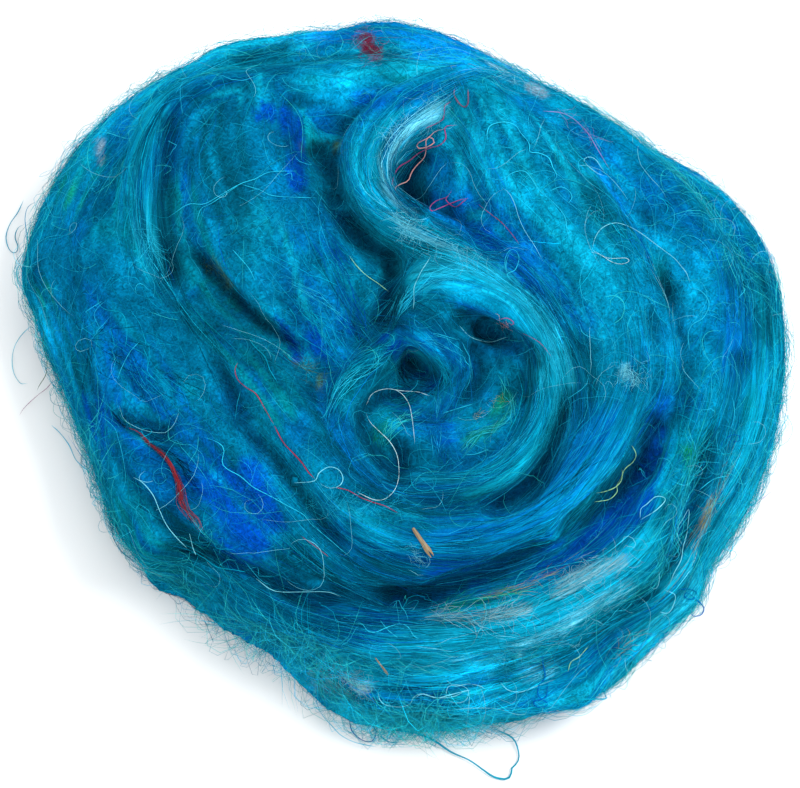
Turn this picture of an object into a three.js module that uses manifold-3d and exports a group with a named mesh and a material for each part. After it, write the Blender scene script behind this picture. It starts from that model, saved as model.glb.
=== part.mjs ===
// Recycled sari silk fibre: one thick combed sliver of silk waste, wound by hand into a loose nest
// that lies on a table. It is one solid of the wound form: the turns, the hairpin and the rosette
// that show on top, the rounded rim, and the flat underside that rests on the table.
// Millimetres, +Z up. The origin is on the table, under the middle of the nest.

import * as THREE from "three";
import { LoftGeometry } from "three/addons/geometries/LoftGeometry.js";
import { mergeVertices } from "three/addons/utils/BufferGeometryUtils.js";
import Module from "manifold-3d";

// Driving dimensions
const SIGHT_ELEVATION = THREE.MathUtils.degToRad(65); // of the line along which the turns are traced
const SECTION_SIDES = 16; // corners of one section of the sliver
const STEP_LENGTH = 6; // spacing of the sections along a turn
const END_ANGLES = [72, 45, 20].map(THREE.MathUtils.degToRad); // rings that round off a turn's ends
const PRESSED = 4; // every turn's root goes this far past the table, and is cut flat there
const FLANK_POWER = 4; // how square an inner turn's buried half is: 2 is round
const RIM_POWER = 2;
const TWIST_STRANDS = 3; // soft ridges that run round the sliver
const TWIST_DEPTH = 0.07; // of the section's half width
const TWIST_PITCH = 150; // length of sliver in which a ridge goes once round

// The heart: the hidden inner windings, as a low dome. Columns: radius, height.
const HEART_MIDDLE = { across: 0, depth: -2 };
const HEART_PROFILE = [
  [0, -PRESSED],
  [79, -PRESSED],
  [80, 6],
  [76, 16],
  [61, 23],
  [34, 28],
  [0, 27],
];
const HEART_SIDES = 40;
const ROOM = 400; // side of the space above the table
const MERGE_DISTANCE = 0.001;

// The sliver, turn by turn from the outside in. Each row is one section of it, in millimetres:
// across and rise place its middle as seen along the sight line, height is that middle above the
// table, width is the whole section's, and crown is how far it swells above its middle.
const TURNS = {
  outer: {
    power: RIM_POWER,
    sections: [
      [-26, -60, 9, 12, 7],
      [-12, -69, 10, 20, 10],
      [6, -73, 12, 24, 11],
      [25, -69, 13, 26, 12],
      [43, -60, 14, 27, 13],
      [57, -46, 15, 27, 14],
      [68, -30, 15, 27, 14],
      [78, -12, 15, 28, 14],
      [82, 8, 16, 28, 14],
      [79, 28, 16, 28, 14],
      [71, 41, 16, 27, 14],
      [54, 52, 16, 26, 14],
      [33, 65, 16, 26, 14],
      [15, 75, 16, 28, 15],
      [-3, 80, 16, 28, 15],
      [-23, 76, 16, 27, 15],
      [-43, 72, 16, 28, 15],
      [-59, 62, 16, 30, 15],
      [-71, 47, 16, 33, 15],
      [-77, 28, 16, 34, 15],
      [-72, 9, 16, 32, 15],
      [-66, -10, 16, 30, 14],
      [-60, -29, 16, 28, 14],
      [-46, -41, 16, 25, 13],
      [-29, -51, 18, 24, 12],
      [-12, -57, 20, 21, 11],
    ],
  },
  second: {
    power: FLANK_POWER,
    sections: [
      [-27, -52, 19, 20, 10],
      [-8, -58, 22, 22, 10],
      [12, -59, 23, 21, 11],
      [32, -56, 24, 21, 12],
      [54, -44, 25, 21, 12],
      [65, -28, 26, 21, 12],
      [72, -9, 27, 20, 12],
      [76, 11, 27, 20, 12],
      [74, 29, 27, 20, 12],
      [64, 43, 28, 22, 12],
      [49, 56, 28, 24, 12],
      [31, 66, 28, 24, 12],
      [13, 73, 27, 23, 12],
      [-5, 75, 26, 22, 11],
      [-22, 73, 25, 22, 11],
      [-40, 72, 25, 20, 11],
      [-53, 67, 26, 20, 11],
      [-60, 53, 27, 20, 11],
      [-60, 36, 27, 20, 11],
      [-53, 22, 27, 18, 11],
    ],
  },
  third: {
    power: FLANK_POWER,
    sections: [
      [-58, 31, 27, 16, 10],
      [-49, 18, 28, 17, 10],
      [-39, 7, 29, 18, 11],
      [-29, -5, 30, 18, 11],
      [-20, -18, 31, 18, 11],
      [-10, -30, 31, 20, 11],
      [5, -37, 31, 20, 11],
      [22, -37, 32, 21, 12],
      [38, -29, 33, 22, 12],
      [49, -15, 34, 23, 12],
      [55, 0, 34, 24, 12],
      [53, 16, 35, 26, 12],
      [46, 31, 36, 28, 12],
      [36, 45, 36, 32, 12],
      [28, 58, 35, 27, 12],
      [20, 70, 33, 20, 11],
    ],
  },
  hairpin: {
    power: FLANK_POWER,
    sections: [
      [16, 76, 32, 13, 9],
      [6, 72, 36, 13, 9],
      [-4, 65, 38, 14, 10],
      [-9, 55, 39, 14, 10],
      [-6, 45, 40, 14, 10],
      [4, 39, 41, 13, 9],
      [16, 34, 42, 13, 8],
      [29, 25, 42, 13, 8],
      [37, 14, 40, 12, 8],
    ],
  },
  ring: {
    power: FLANK_POWER,
    sections: [
      [0, 21, 36, 12, 8],
      [6, 27, 38, 14, 8],
      [17, 27, 40, 15, 8],
      [29, 21, 41, 14, 9],
      [36, 11, 41, 13, 9],
      [39, -2, 39, 14, 9],
      [35, -14, 36, 15, 9],
      [25, -24, 34, 15, 9],
      [11, -27, 33, 15, 9],
      [-2, -24, 33, 14, 8],
      [-11, -15, 33, 13, 8],
      [-14, -5, 34, 12, 8],
      [-10, 4, 34, 11, 8],
      [-4, 10, 32, 10, 7],
    ],
  },
  filling: {
    power: FLANK_POWER,
    sections: [
      [33, 6, 31, 12, 7],
      [30, -5, 31, 16, 7],
      [21, -13, 30, 17, 7],
      [8, -15, 29, 17, 7],
      [-3, -10, 29, 14, 7],
      [-7, -2, 29, 11, 6],
      [-5, 5, 28, 9, 5],
    ],
  },
  tail: {
    power: FLANK_POWER,
    sections: [
      [-2, 18, 33, 11, 6],
      [5, 18, 36, 14, 7],
      [12, 14, 37, 15, 7],
      [16, 6, 35, 13, 7],
      [13, -1, 31, 10, 6],
    ],
  },
  lobe: {
    power: FLANK_POWER,
    sections: [
      [-34, 70, 27, 26, 10],
      [-37, 57, 30, 34, 11],
      [-35, 45, 32, 38, 12],
      [-30, 34, 33, 37, 12],
      [-23, 21, 32, 30, 11],
      [-14, 10, 30, 20, 9],
      [-5, 5, 27, 12, 7],
    ],
  },
  shoulder: {
    power: FLANK_POWER,
    sections: [
      [-70, 33, 25, 22, 10],
      [-65, 21, 27, 24, 11],
      [-56, 10, 28, 24, 11],
      [-47, -4, 28, 22, 10],
      [-37, -18, 27, 19, 10],
      [-25, -33, 27, 17, 9],
      [-13, -44, 25, 14, 8],
      [-3, -48, 23, 10, 6],
    ],
  },
  hip: {
    power: FLANK_POWER,
    sections: [
      [-72, -4, 20, 14, 8],
      [-62, -15, 24, 22, 10],
      [-50, -25, 25, 26, 10],
      [-37, -35, 25, 22, 9],
      [-22, -44, 23, 16, 8],
      [-8, -49, 21, 10, 6],
    ],
  },
};

const wasm = await Module();
wasm.setup();

// A traced point in the frame of the table.
function onTable(across, rise, height) {
  const depth = (rise - height * Math.cos(SIGHT_ELEVATION)) / Math.sin(SIGHT_ELEVATION);
  return new THREE.Vector3(across, depth, height);
}

// One section of the sliver, standing square to its run: a round crown over flanks down to its root.
function sectionPoints({ middle, run, halfWidth, crown, root, power, turned, size }) {
  const side = new THREE.Vector3(-run.y, run.x, 0);
  const points = [];
  for (let corner = 0; corner < SECTION_SIDES; corner++) {
    const angle = (corner / SECTION_SIDES) * Math.PI * 2;
    const swell = size * (1 + TWIST_DEPTH * Math.cos(TWIST_STRANDS * angle - turned));
    const isCrown = Math.sin(angle) > 0;
    const bend = isCrown ? 1 : 2 / power;
    const reach = halfWidth * Math.sign(Math.cos(angle)) * Math.abs(Math.cos(angle)) ** bend;
    const lift = isCrown ? crown * Math.sin(angle) : -root * Math.abs(Math.sin(angle)) ** bend;
    const point = middle.clone().addScaledVector(side, reach * swell);
    point.z += lift * swell;
    points.push(point);
  }
  return points;
}

// The sections of a turn from one rounded end to the other.
function turnGeometry({ sections, power }) {
  const path = new THREE.CatmullRomCurve3(
    sections.map(([across, rise, height]) => onTable(across, rise, height)),
  );
  const girth = new THREE.CatmullRomCurve3(
    sections.map(([, , , width, crown]) => new THREE.Vector3(width / 2, crown, 0)),
  );
  const length = path.getLength();
  const steps = Math.round(length / STEP_LENGTH);
  const rings = [];
  const addRing = (t, endAngle = 0) => {
    const { x: halfWidth, y: crown } = girth.getPoint(t);
    const run = path.getTangent(t).setZ(0).normalize();
    const middle = path.getPoint(t).addScaledVector(run, halfWidth * Math.sin(endAngle));
    const root = middle.z + PRESSED;
    const turned = ((t * length) / TWIST_PITCH) * Math.PI * 2;
    rings.push(
      sectionPoints({ middle, run, halfWidth, crown, root, power, turned, size: Math.cos(endAngle) }),
    );
  };
  END_ANGLES.forEach((angle) => addRing(0, -angle));
  for (let step = 0; step <= steps; step++) addRing(step / steps);
  END_ANGLES.toReversed().forEach((angle) => addRing(1, angle));
  return new LoftGeometry(rings, { capStart: true, capEnd: true });
}

// A closed geometry as a solid that can be joined and cut.
function solidOf(geometry) {
  const bare = new THREE.BufferGeometry();
  bare.setAttribute("position", geometry.attributes.position);
  bare.setIndex(geometry.index);
  const merged = mergeVertices(bare, MERGE_DISTANCE);
  const corners = merged.index.array;
  const kept = [];
  for (let i = 0; i < corners.length; i += 3) {
    const [a, b, c] = [corners[i], corners[i + 1], corners[i + 2]];
    if (a !== b && b !== c && c !== a) kept.push(a, b, c);
  }
  return new wasm.Manifold(
    new wasm.Mesh({
      numProp: 3,
      vertProperties: new Float32Array(merged.attributes.position.array),
      triVerts: new Uint32Array(kept),
    }),
  );
}

function heartSolid() {
  const profile = HEART_PROFILE.map(([radius, height]) => new THREE.Vector2(radius, height));
  const dome = new THREE.LatheGeometry(profile, HEART_SIDES).rotateX(Math.PI / 2);
  return solidOf(dome.translate(HEART_MIDDLE.across, HEART_MIDDLE.depth, 0));
}

// All that lies above the table.
function aboveTable() {
  return solidOf(new THREE.BoxGeometry(ROOM, ROOM, ROOM).translate(0, 0, ROOM / 2));
}

function nestGeometry() {
  let nest = heartSolid();
  for (const turn of Object.values(TURNS)) nest = nest.add(solidOf(turnGeometry(turn)));
  // Air shut in between two turns is a shell of its own, so only the largest shell is kept.
  const [whole] = nest.intersect(aboveTable()).decompose().sort((a, b) => b.volume() - a.volume());
  const { vertProperties, triVerts } = whole.getMesh();
  const geometry = new THREE.BufferGeometry();
  geometry.setAttribute("position", new THREE.BufferAttribute(vertProperties, 3));
  geometry.setIndex(new THREE.BufferAttribute(triVerts, 1));
  geometry.computeBoundingBox();
  const middle = geometry.boundingBox.getCenter(new THREE.Vector3());
  geometry.translate(-middle.x, -middle.y, -geometry.boundingBox.min.z);
  geometry.computeVertexNormals();
  return geometry;
}

const silk = new THREE.MeshStandardMaterial({ color: 0x0a7fae, roughness: 0.55, metalness: 0 });

const nest = new THREE.Mesh(nestGeometry(), silk);
nest.name = "silk_nest";

const part = new THREE.Group();
part.add(nest);

export default part;
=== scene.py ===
# Recycled sari silk fibre: a hand-wound nest of combed silk waste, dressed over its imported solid.
import math
from types import SimpleNamespace

import bmesh
import bpy
import numpy as np
from mathutils import Matrix, Vector, noise
from mathutils.bvhtree import BVHTree


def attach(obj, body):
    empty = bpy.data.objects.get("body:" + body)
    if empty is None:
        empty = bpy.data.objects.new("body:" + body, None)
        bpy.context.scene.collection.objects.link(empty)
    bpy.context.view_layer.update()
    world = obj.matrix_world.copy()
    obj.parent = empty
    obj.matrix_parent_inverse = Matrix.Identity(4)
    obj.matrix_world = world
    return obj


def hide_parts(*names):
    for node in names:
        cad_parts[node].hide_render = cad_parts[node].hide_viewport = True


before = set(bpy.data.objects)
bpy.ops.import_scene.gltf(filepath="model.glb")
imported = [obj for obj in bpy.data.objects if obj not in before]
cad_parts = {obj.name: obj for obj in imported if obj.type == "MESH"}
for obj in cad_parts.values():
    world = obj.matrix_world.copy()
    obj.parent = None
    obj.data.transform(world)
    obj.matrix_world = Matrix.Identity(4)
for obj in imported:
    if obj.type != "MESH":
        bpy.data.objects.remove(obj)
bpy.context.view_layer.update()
mm = 0.001

# The line of sight of the photograph. Pixels are those of its 800 by 788 frame.
sight = {
    "elevation": math.radians(65),
    "distance": 1.5,
    "target": (-0.00026, 0.00224, 0.0),
    "pixel": 0.25 * mm,
    "middle": (400, 394),
    "frameWidth": 800,
    "sensor": 36.0,
}

# The sliver, turn by turn: across, rise, height, width and crown of each section, as in the part's source.
turns = {
    "outer": [
        (-26, -60, 9, 12, 7), (-12, -69, 10, 20, 10), (6, -73, 12, 24, 11), (25, -69, 13, 26, 12),
        (43, -60, 14, 27, 13), (57, -46, 15, 27, 14), (68, -30, 15, 27, 14), (78, -12, 15, 28, 14),
        (82, 8, 16, 28, 14), (79, 28, 16, 28, 14), (71, 41, 16, 27, 14), (54, 52, 16, 26, 14),
        (33, 65, 16, 26, 14), (15, 75, 16, 28, 15), (-3, 80, 16, 28, 15), (-23, 76, 16, 27, 15),
        (-43, 72, 16, 28, 15), (-59, 62, 16, 30, 15), (-71, 47, 16, 33, 15), (-77, 28, 16, 34, 15),
        (-72, 9, 16, 32, 15), (-66, -10, 16, 30, 14), (-60, -29, 16, 28, 14), (-46, -41, 16, 25, 13),
        (-29, -51, 18, 24, 12), (-12, -57, 20, 21, 11),
    ],
    "second": [
        (-27, -52, 19, 20, 10), (-8, -58, 22, 22, 10), (12, -59, 23, 21, 11), (32, -56, 24, 21, 12),
        (54, -44, 25, 21, 12), (65, -28, 26, 21, 12), (72, -9, 27, 20, 12), (76, 11, 27, 20, 12),
        (74, 29, 27, 20, 12), (64, 43, 28, 22, 12), (49, 56, 28, 24, 12), (31, 66, 28, 24, 12),
        (13, 73, 27, 23, 12), (-5, 75, 26, 22, 11), (-22, 73, 25, 22, 11), (-40, 72, 25, 20, 11),
        (-53, 67, 26, 20, 11), (-60, 53, 27, 20, 11), (-60, 36, 27, 20, 11), (-53, 22, 27, 18, 11),
    ],
    "third": [
        (-58, 31, 27, 16, 10), (-49, 18, 28, 17, 10), (-39, 7, 29, 18, 11), (-29, -5, 30, 18, 11),
        (-20, -18, 31, 18, 11), (-10, -30, 31, 20, 11), (5, -37, 31, 20, 11), (22, -37, 32, 21, 12),
        (38, -29, 33, 22, 12), (49, -15, 34, 23, 12), (55, 0, 34, 24, 12), (53, 16, 35, 26, 12),
        (46, 31, 36, 28, 12), (36, 45, 36, 32, 12), (28, 58, 35, 27, 12), (20, 70, 33, 20, 11),
    ],
    "hairpin": [
        (16, 76, 32, 13, 9), (6, 72, 36, 13, 9), (-4, 65, 38, 14, 10), (-9, 55, 39, 14, 10),
        (-6, 45, 40, 14, 10), (4, 39, 41, 13, 9), (16, 34, 42, 13, 8), (29, 25, 42, 13, 8),
        (37, 14, 40, 12, 8),
    ],
    "ring": [
        (0, 21, 36, 12, 8), (6, 27, 38, 14, 8), (17, 27, 40, 15, 8), (29, 21, 41, 14, 9),
        (36, 11, 41, 13, 9), (39, -2, 39, 14, 9), (35, -14, 36, 15, 9), (25, -24, 34, 15, 9),
        (11, -27, 33, 15, 9), (-2, -24, 33, 14, 8), (-11, -15, 33, 13, 8), (-14, -5, 34, 12, 8),
        (-10, 4, 34, 11, 8), (-4, 10, 32, 10, 7),
    ],
    "filling": [
        (33, 6, 31, 12, 7), (30, -5, 31, 16, 7), (21, -13, 30, 17, 7), (8, -15, 29, 17, 7),
        (-3, -10, 29, 14, 7), (-7, -2, 29, 11, 6), (-5, 5, 28, 9, 5),
    ],
    "tail": [
        (-2, 18, 33, 11, 6), (5, 18, 36, 14, 7), (12, 14, 37, 15, 7), (16, 6, 35, 13, 7),
        (13, -1, 31, 10, 6),
    ],
    "lobe": [
        (-34, 70, 27, 26, 10), (-37, 57, 30, 34, 11), (-35, 45, 32, 38, 12), (-30, 34, 33, 37, 12),
        (-23, 21, 32, 30, 11), (-14, 10, 30, 20, 9), (-5, 5, 27, 12, 7),
    ],
    "shoulder": [
        (-70, 33, 25, 22, 10), (-65, 21, 27, 24, 11), (-56, 10, 28, 24, 11), (-47, -4, 28, 22, 10),
        (-37, -18, 27, 19, 10), (-25, -33, 27, 17, 9), (-13, -44, 25, 14, 8), (-3, -48, 23, 10, 6),
    ],
    "hip": [
        (-72, -4, 20, 14, 8), (-62, -15, 24, 22, 10), (-50, -25, 25, 26, 10), (-37, -35, 25, 22, 9),
        (-22, -44, 23, 16, 8), (-8, -49, 21, 10, 6),
    ],
}
turnPlace = {"across": -0.26, "depth": 2.235, "perSection": 8}  # the part's frame, and samples per section

# Dyes, as linear light
dyes = {
    "navy": (0.0002, 0.007, 0.024),
    "deepTeal": (0.0003, 0.055, 0.095),
    "petrol": (0.0003, 0.088, 0.180),
    "cobalt": (0.0002, 0.042, 0.27),
    "cerulean": (0.0003, 0.085, 0.31),
    "turquoise": (0.0005, 0.150, 0.26),
    "teal": (0.0006, 0.150, 0.19),
    "aqua": (0.002, 0.27, 0.40),
    "cyan": (0.015, 0.42, 0.60),
    "pale": (0.14, 0.52, 0.64),
    "ash": (0.24, 0.42, 0.46),
    "white": (0.42, 0.66, 0.70),
    "seafoam": (0.02, 0.42, 0.42),
    "dusk": (0.12, 0.20, 0.27),
    "plum": (0.12, 0.06, 0.11),
    "crimson": (0.26, 0.012, 0.04),
    "brick": (0.27, 0.016, 0.022),
    "maroon": (0.13, 0.008, 0.03),
    "salmon": (0.62, 0.31, 0.29),
    "pink": (0.32, 0.035, 0.16),
    "mauve": (0.24, 0.17, 0.40),
    "green": (0.003, 0.15, 0.075),
    "leaf": (0.004, 0.26, 0.07),
    "lime": (0.28, 0.60, 0.27),
    "olive": (0.045, 0.09, 0.014),
    "orange": (0.30, 0.23, 0.03),
}


def dyesOf(names):
    return np.array([dyes[name] for name in names])


def unit(vectors):
    return vectors / np.maximum(np.linalg.norm(vectors, axis=-1, keepdims=True), 1e-12)


def dot(a, b):
    return (a * b).sum(axis=-1, keepdims=True)


def ease(values, start, end):
    t = np.clip((values - start) / (end - start), 0, 1)
    return t * t * (3 - 2 * t)


def noiseAt(a, b, c):
    return np.array([noise.noise(p) for p in np.column_stack(np.broadcast_arrays(a, b, c)).tolist()])


def smoothRows(rows, perSection):
    rows = np.array(rows, float)
    padded = np.vstack([2 * rows[0] - rows[1], rows, 2 * rows[-1] - rows[-2]])
    t = np.linspace(0, 1, perSection, endpoint=False)[:, None]
    made = []
    for i in range(len(rows) - 1):
        a, b, c, d = padded[i : i + 4]
        made.append(
            b + 0.5 * t * (c - a + t * (2 * a - 5 * b + 4 * c - d + t * (3 * b - a - 3 * c + d)))
        )
    return np.vstack([*made, rows[-1:]])


# Camera
elevation = sight["elevation"]
target = np.array(sight["target"])
rightWay = np.array((1.0, 0.0, 0.0))
upWay = np.array((0.0, math.sin(elevation), math.cos(elevation)))
toEye = np.array((0.0, -math.cos(elevation), math.sin(elevation)))
eye = target + toEye * sight["distance"]


def pixelsOf(points):
    away = points - eye
    scale = sight["distance"] / -dot(away, toEye) / sight["pixel"]
    return np.hstack([
        sight["middle"][0] + dot(away, rightWay) * scale,
        sight["middle"][1] - dot(away, upWay) * scale,
    ])


def raysThrough(pixels):
    pixels = np.array(pixels, float)
    across = (pixels[:, :1] - sight["middle"][0]) * sight["pixel"]
    rise = (sight["middle"][1] - pixels[:, 1:]) * sight["pixel"]
    return unit(target + across * rightWay + rise * upWay - eye)


def addCamera():
    lens = bpy.data.cameras.new("photo_view")
    lens.sensor_fit = "HORIZONTAL"
    lens.sensor_width = sight["sensor"]
    lens.lens = sight["sensor"] * sight["distance"] / (sight["frameWidth"] * sight["pixel"])
    lens.clip_start = 0.05
    lens.clip_end = 20
    camera = bpy.data.objects.new("photo_view", lens)
    camera.location = eye
    camera.rotation_euler = (math.pi / 2 - elevation, 0, 0)
    bpy.context.scene.collection.objects.link(camera)
    bpy.context.scene.camera = camera


addCamera()
print("camera set")


# Where the sliver runs: samples along each turn, in metres
def sampleTurn(rows):
    made = smoothRows(rows, turnPlace["perSection"])
    across, rise, height, width, crown = made.T
    depth = (rise - height * math.cos(elevation)) / math.sin(elevation)
    middle = np.column_stack([across + turnPlace["across"], depth + turnPlace["depth"], height]) * mm
    run = np.gradient(middle, axis=0)
    along = np.concatenate([[0], np.cumsum(np.linalg.norm(np.diff(middle, axis=0), axis=1))])
    level = unit(run * (1, 1, 0))
    return SimpleNamespace(
        middle=middle,
        run=unit(run),
        level=level,
        side=np.column_stack([-level[:, 1], level[:, 0], np.zeros(len(level))]),
        half=width / 2 * mm,
        crown=crown * mm,
        along=along,
    )


sampled = [sampleTurn(rows) for rows in turns.values()]


# Which turn each point lies on, its place along and round that turn in mm, and how the fibres run there
def layOf(points, chunk=6000):
    parts = []
    for start in range(0, len(points), chunk):
        here = points[start : start + chunk]
        row = np.arange(len(here))
        depths, runs, lays = [], [], []
        for number, turn in enumerate(sampled):
            away = here[:, None] - turn.middle[None]
            off = (away * turn.side).sum(2)
            ahead = (away * turn.level).sum(2)
            lift = away[:, :, 2]
            girths = np.sqrt((off / turn.half) ** 2 + (ahead / turn.half) ** 2
                             + (np.maximum(lift, 0) / turn.crown) ** 2)
            k = girths.argmin(1)
            depths.append((girths[row, k] - 1) * np.minimum(turn.half, turn.crown)[k])
            runs.append(turn.run[k])
            girth = (turn.half[k] + turn.crown[k]) / 2
            angle = np.arctan2(np.maximum(lift[row, k], 0) / turn.crown[k], off[row, k] / turn.half[k])
            below = np.minimum(lift[row, k], 0) * np.where(off[row, k] > 0, 1, -1)
            lays.append(np.column_stack([
                (turn.along[k] + ahead[row, k]) / mm,
                (angle * girth + below) / mm,
                np.full(len(here), 37.0 * number),
            ]))
        nearest = np.array(depths).argmin(0)
        parts.append((np.array(lays)[nearest, row], np.array(runs)[nearest, row]))
    return [np.concatenate(column) for column in zip(*parts)]


# Runs of one dye that the photograph shows: dye, share of the fibres, reach and path in its pixels
dyeRuns = [
    ("aqua", 0.45, 28, [(425, 110), (370, 150), (355, 195), (385, 240)]),
    ("pale", 0.3, 9, [(440, 108), (415, 121), (397, 140), (385, 162), (386, 188), (398, 212)]),
    ("pale", 0.3, 6, [(394, 206), (406, 226), (425, 240), (455, 250), (490, 268), (520, 286)]),
    ("cerulean", 0.7, 14, [(440, 208), (465, 222), (490, 240)]),
    ("petrol", 0.7, 50, [(235, 130), (245, 200), (265, 260)]),
    ("petrol", 0.6, 44, [(60, 250), (110, 270), (150, 310), (180, 360)]),
    ("petrol", 0.7, 32, [(200, 580), (270, 600), (340, 610), (400, 610)]),
    ("turquoise", 0.85, 32, [(590, 260), (620, 330), (625, 390), (605, 440)]),
    ("aqua", 0.9, 18, [(424, 280), (440, 270), (480, 272), (520, 300), (545, 340), (556, 380)]),
    ("cyan", 0.45, 17, [(426, 274), (468, 264), (512, 288), (542, 324), (558, 372)]),
    ("aqua", 0.45, 9, [(553, 375), (554, 398), (547, 422), (535, 447), (518, 470), (497, 487), (470, 498)]),
    ("cobalt", 0.75, 10, [(262, 110), (288, 117), (300, 145), (298, 180)]),
    ("cobalt", 0.75, 26, [(200, 470), (228, 500), (245, 545)]),
    ("cobalt", 0.85, 18, [(246, 474), (262, 500), (266, 524)]),
    ("cobalt", 0.35, 18, [(296, 286), (306, 312)]), ("cobalt", 0.6, 18, [(254, 372), (266, 390)]),
    ("cobalt", 0.4, 18, [(294, 332), (306, 350)]), ("turquoise", 0.5, 18, [(612, 172), (630, 190)]),
    ("cobalt", 0.5, 18, [(92, 406), (100, 420), (108, 436)]), ("pale", 0.35, 14, [(486, 662), (540, 660)]),
    ("pale", 0.35, 9, [(268, 40), (296, 36), (320, 32)]), ("ash", 0.3, 10, [(498, 66), (516, 74)]),
    ("cerulean", 0.5, 30, [(85, 400), (130, 440), (190, 450)]),
    ("cobalt", 0.8, 18, [(640, 505), (615, 528), (580, 548), (545, 560)]),
    ("cobalt", 0.6, 13, [(662, 400), (655, 440), (640, 480)]),
    ("cobalt", 0.6, 10, [(385, 338), (408, 362), (430, 380)]),
    ("turquoise", 0.6, 14, [(440, 300), (490, 308), (530, 335)]),
    ("cobalt", 0.3, 10, [(445, 400), (448, 430), (440, 455)]),
    ("cobalt", 0.7, 13, [(490, 240), (515, 262), (535, 285)]),
    ("cerulean", 0.6, 15, [(476, 199), (519, 230), (557, 281), (583, 319)]),
    ("cobalt", 0.5, 18, [(280, 268), (305, 285), (345, 315)]),
    ("cobalt", 0.5, 9, [(115, 106), (126, 98), (140, 90)]),
    ("cerulean", 0.6, 16, [(300, 45), (350, 30), (400, 30), (460, 55)]),
    ("cobalt", 0.5, 12, [(360, 98), (400, 96), (430, 90)]),
    ("cobalt", 0.4, 9, [(735, 190), (715, 175), (690, 165)]),
    ("cobalt", 0.8, 5, [(500, 640), (540, 626), (586, 606), (629, 583), (652, 565)]),
    ("cobalt", 0.6, 9, [(600, 648), (630, 632), (655, 612)]),
    ("cobalt", 0.5, 14, [(470, 560), (520, 545), (560, 520)]),
    ("cobalt", 0.6, 8, [(388, 636), (368, 634), (350, 636)]),
    ("cobalt", 0.6, 7, [(405, 688), (425, 694), (440, 700)]),
    ("cobalt", 0.5, 12, [(330, 612), (370, 622), (420, 620)]),
    ("cerulean", 0.35, 40, [(690, 200), (740, 260), (755, 330)]),
    ("cerulean", 0.3, 30, [(80, 300), (100, 350), (150, 380), (190, 420)]),
    ("cerulean", 0.65, 26, [(440, 545), (520, 525), (570, 480), (600, 430)]),
    ("turquoise", 0.4, 20, [(430, 548), (500, 545), (550, 515), (590, 470)]),
    ("teal", 0.35, 30, [(75, 170), (105, 190), (125, 230)]),
    ("teal", 0.5, 24, [(130, 510), (150, 550), (200, 590)]),
    ("teal", 0.5, 26, [(180, 210), (230, 330), (270, 400)]),
    ("aqua", 0.4, 44, [(470, 130), (530, 170), (570, 220), (600, 280)]),
    ("aqua", 0.5, 20, [(735, 470), (765, 420), (775, 350), (770, 280)]),
    ("cyan", 0.25, 9, [(430, 652), (500, 642), (560, 615)]),
    ("aqua", 0.9, 18, [(400, 640), (470, 636), (540, 612), (600, 580), (650, 545)]),
    ("aqua", 0.9, 18, [(330, 668), (420, 664), (500, 655), (580, 625), (660, 580)]),
    ("aqua", 0.6, 18, [(640, 640), (690, 590), (735, 520), (760, 470)]),
    ("aqua", 0.55, 18, [(340, 715), (420, 735), (520, 725), (600, 690), (660, 635)]),
    ("aqua", 0.5, 18, [(143, 90), (180, 65), (235, 45), (300, 35)]),
    ("aqua", 0.5, 16, [(153, 105), (145, 145), (150, 215), (158, 265)]),
    ("cyan", 0.25, 8, [(141, 225), (150, 242), (158, 268)]),
    ("aqua", 0.25, 26, [(230, 75), (300, 80), (360, 75), (420, 62)]),
    ("aqua", 0.4, 24, [(250, 225), (285, 262), (320, 310)]),
    ("aqua", 0.35, 10, [(330, 512), (370, 516), (415, 514)]),
    ("deepTeal", 0.5, 24, [(35, 290), (60, 340), (85, 400)]),
    ("deepTeal", 0.5, 24, [(215, 130), (225, 190), (235, 240)]),
    ("deepTeal", 0.5, 20, [(290, 560), (340, 575), (400, 560)]),
    ("deepTeal", 0.45, 20, [(600, 200), (640, 260), (650, 330)]),
    ("deepTeal", 0.5, 14, [(500, 665), (580, 640), (650, 600)]),
    ("orange", 0.3, 3, [(487, 595), (522, 590), (553, 573)]),
    ("leaf", 0.5, 5, [(448, 609), (485, 601), (520, 596)]),
    ("deepTeal", 0.6, 14, [(172, 512), (186, 530), (196, 548)]),
    ("green", 0.25, 8, [(470, 440), (495, 425), (508, 400)]),
    ("leaf", 0.55, 7, [(688, 448), (693, 462), (690, 474)]),
    ("orange", 0.5, 3.5, [(712, 500), (708, 514), (703, 528)]),
    ("olive", 0.35, 6, [(208, 262), (218, 270), (228, 282)]),
    ("olive", 0.35, 7, [(300, 362), (310, 370), (322, 386)]),
    ("olive", 0.3, 9, [(308, 148), (320, 150), (332, 147)]), ("green", 0.22, 9, [(62, 182), (75, 200)]),
    ("green", 0.22, 6, [(43, 288), (47, 302)]), ("cobalt", 0.6, 20, [(450, 574), (474, 578)]),
    ("cobalt", 0.35, 18, [(96, 412), (104, 428)]), ("cobalt", 0.6, 18, [(370, 622), (392, 622)]),
    ("cobalt", 0.7, 18, [(290, 338), (310, 346)]), ("lime", 0.3, 5, [(772, 262), (778, 278)]),
    ("green", 0.2, 9, [(268, 225), (290, 240)]), ("maroon", 1.2, 5.5, [(366, 39), (369, 47), (377, 55)]),
]

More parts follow.
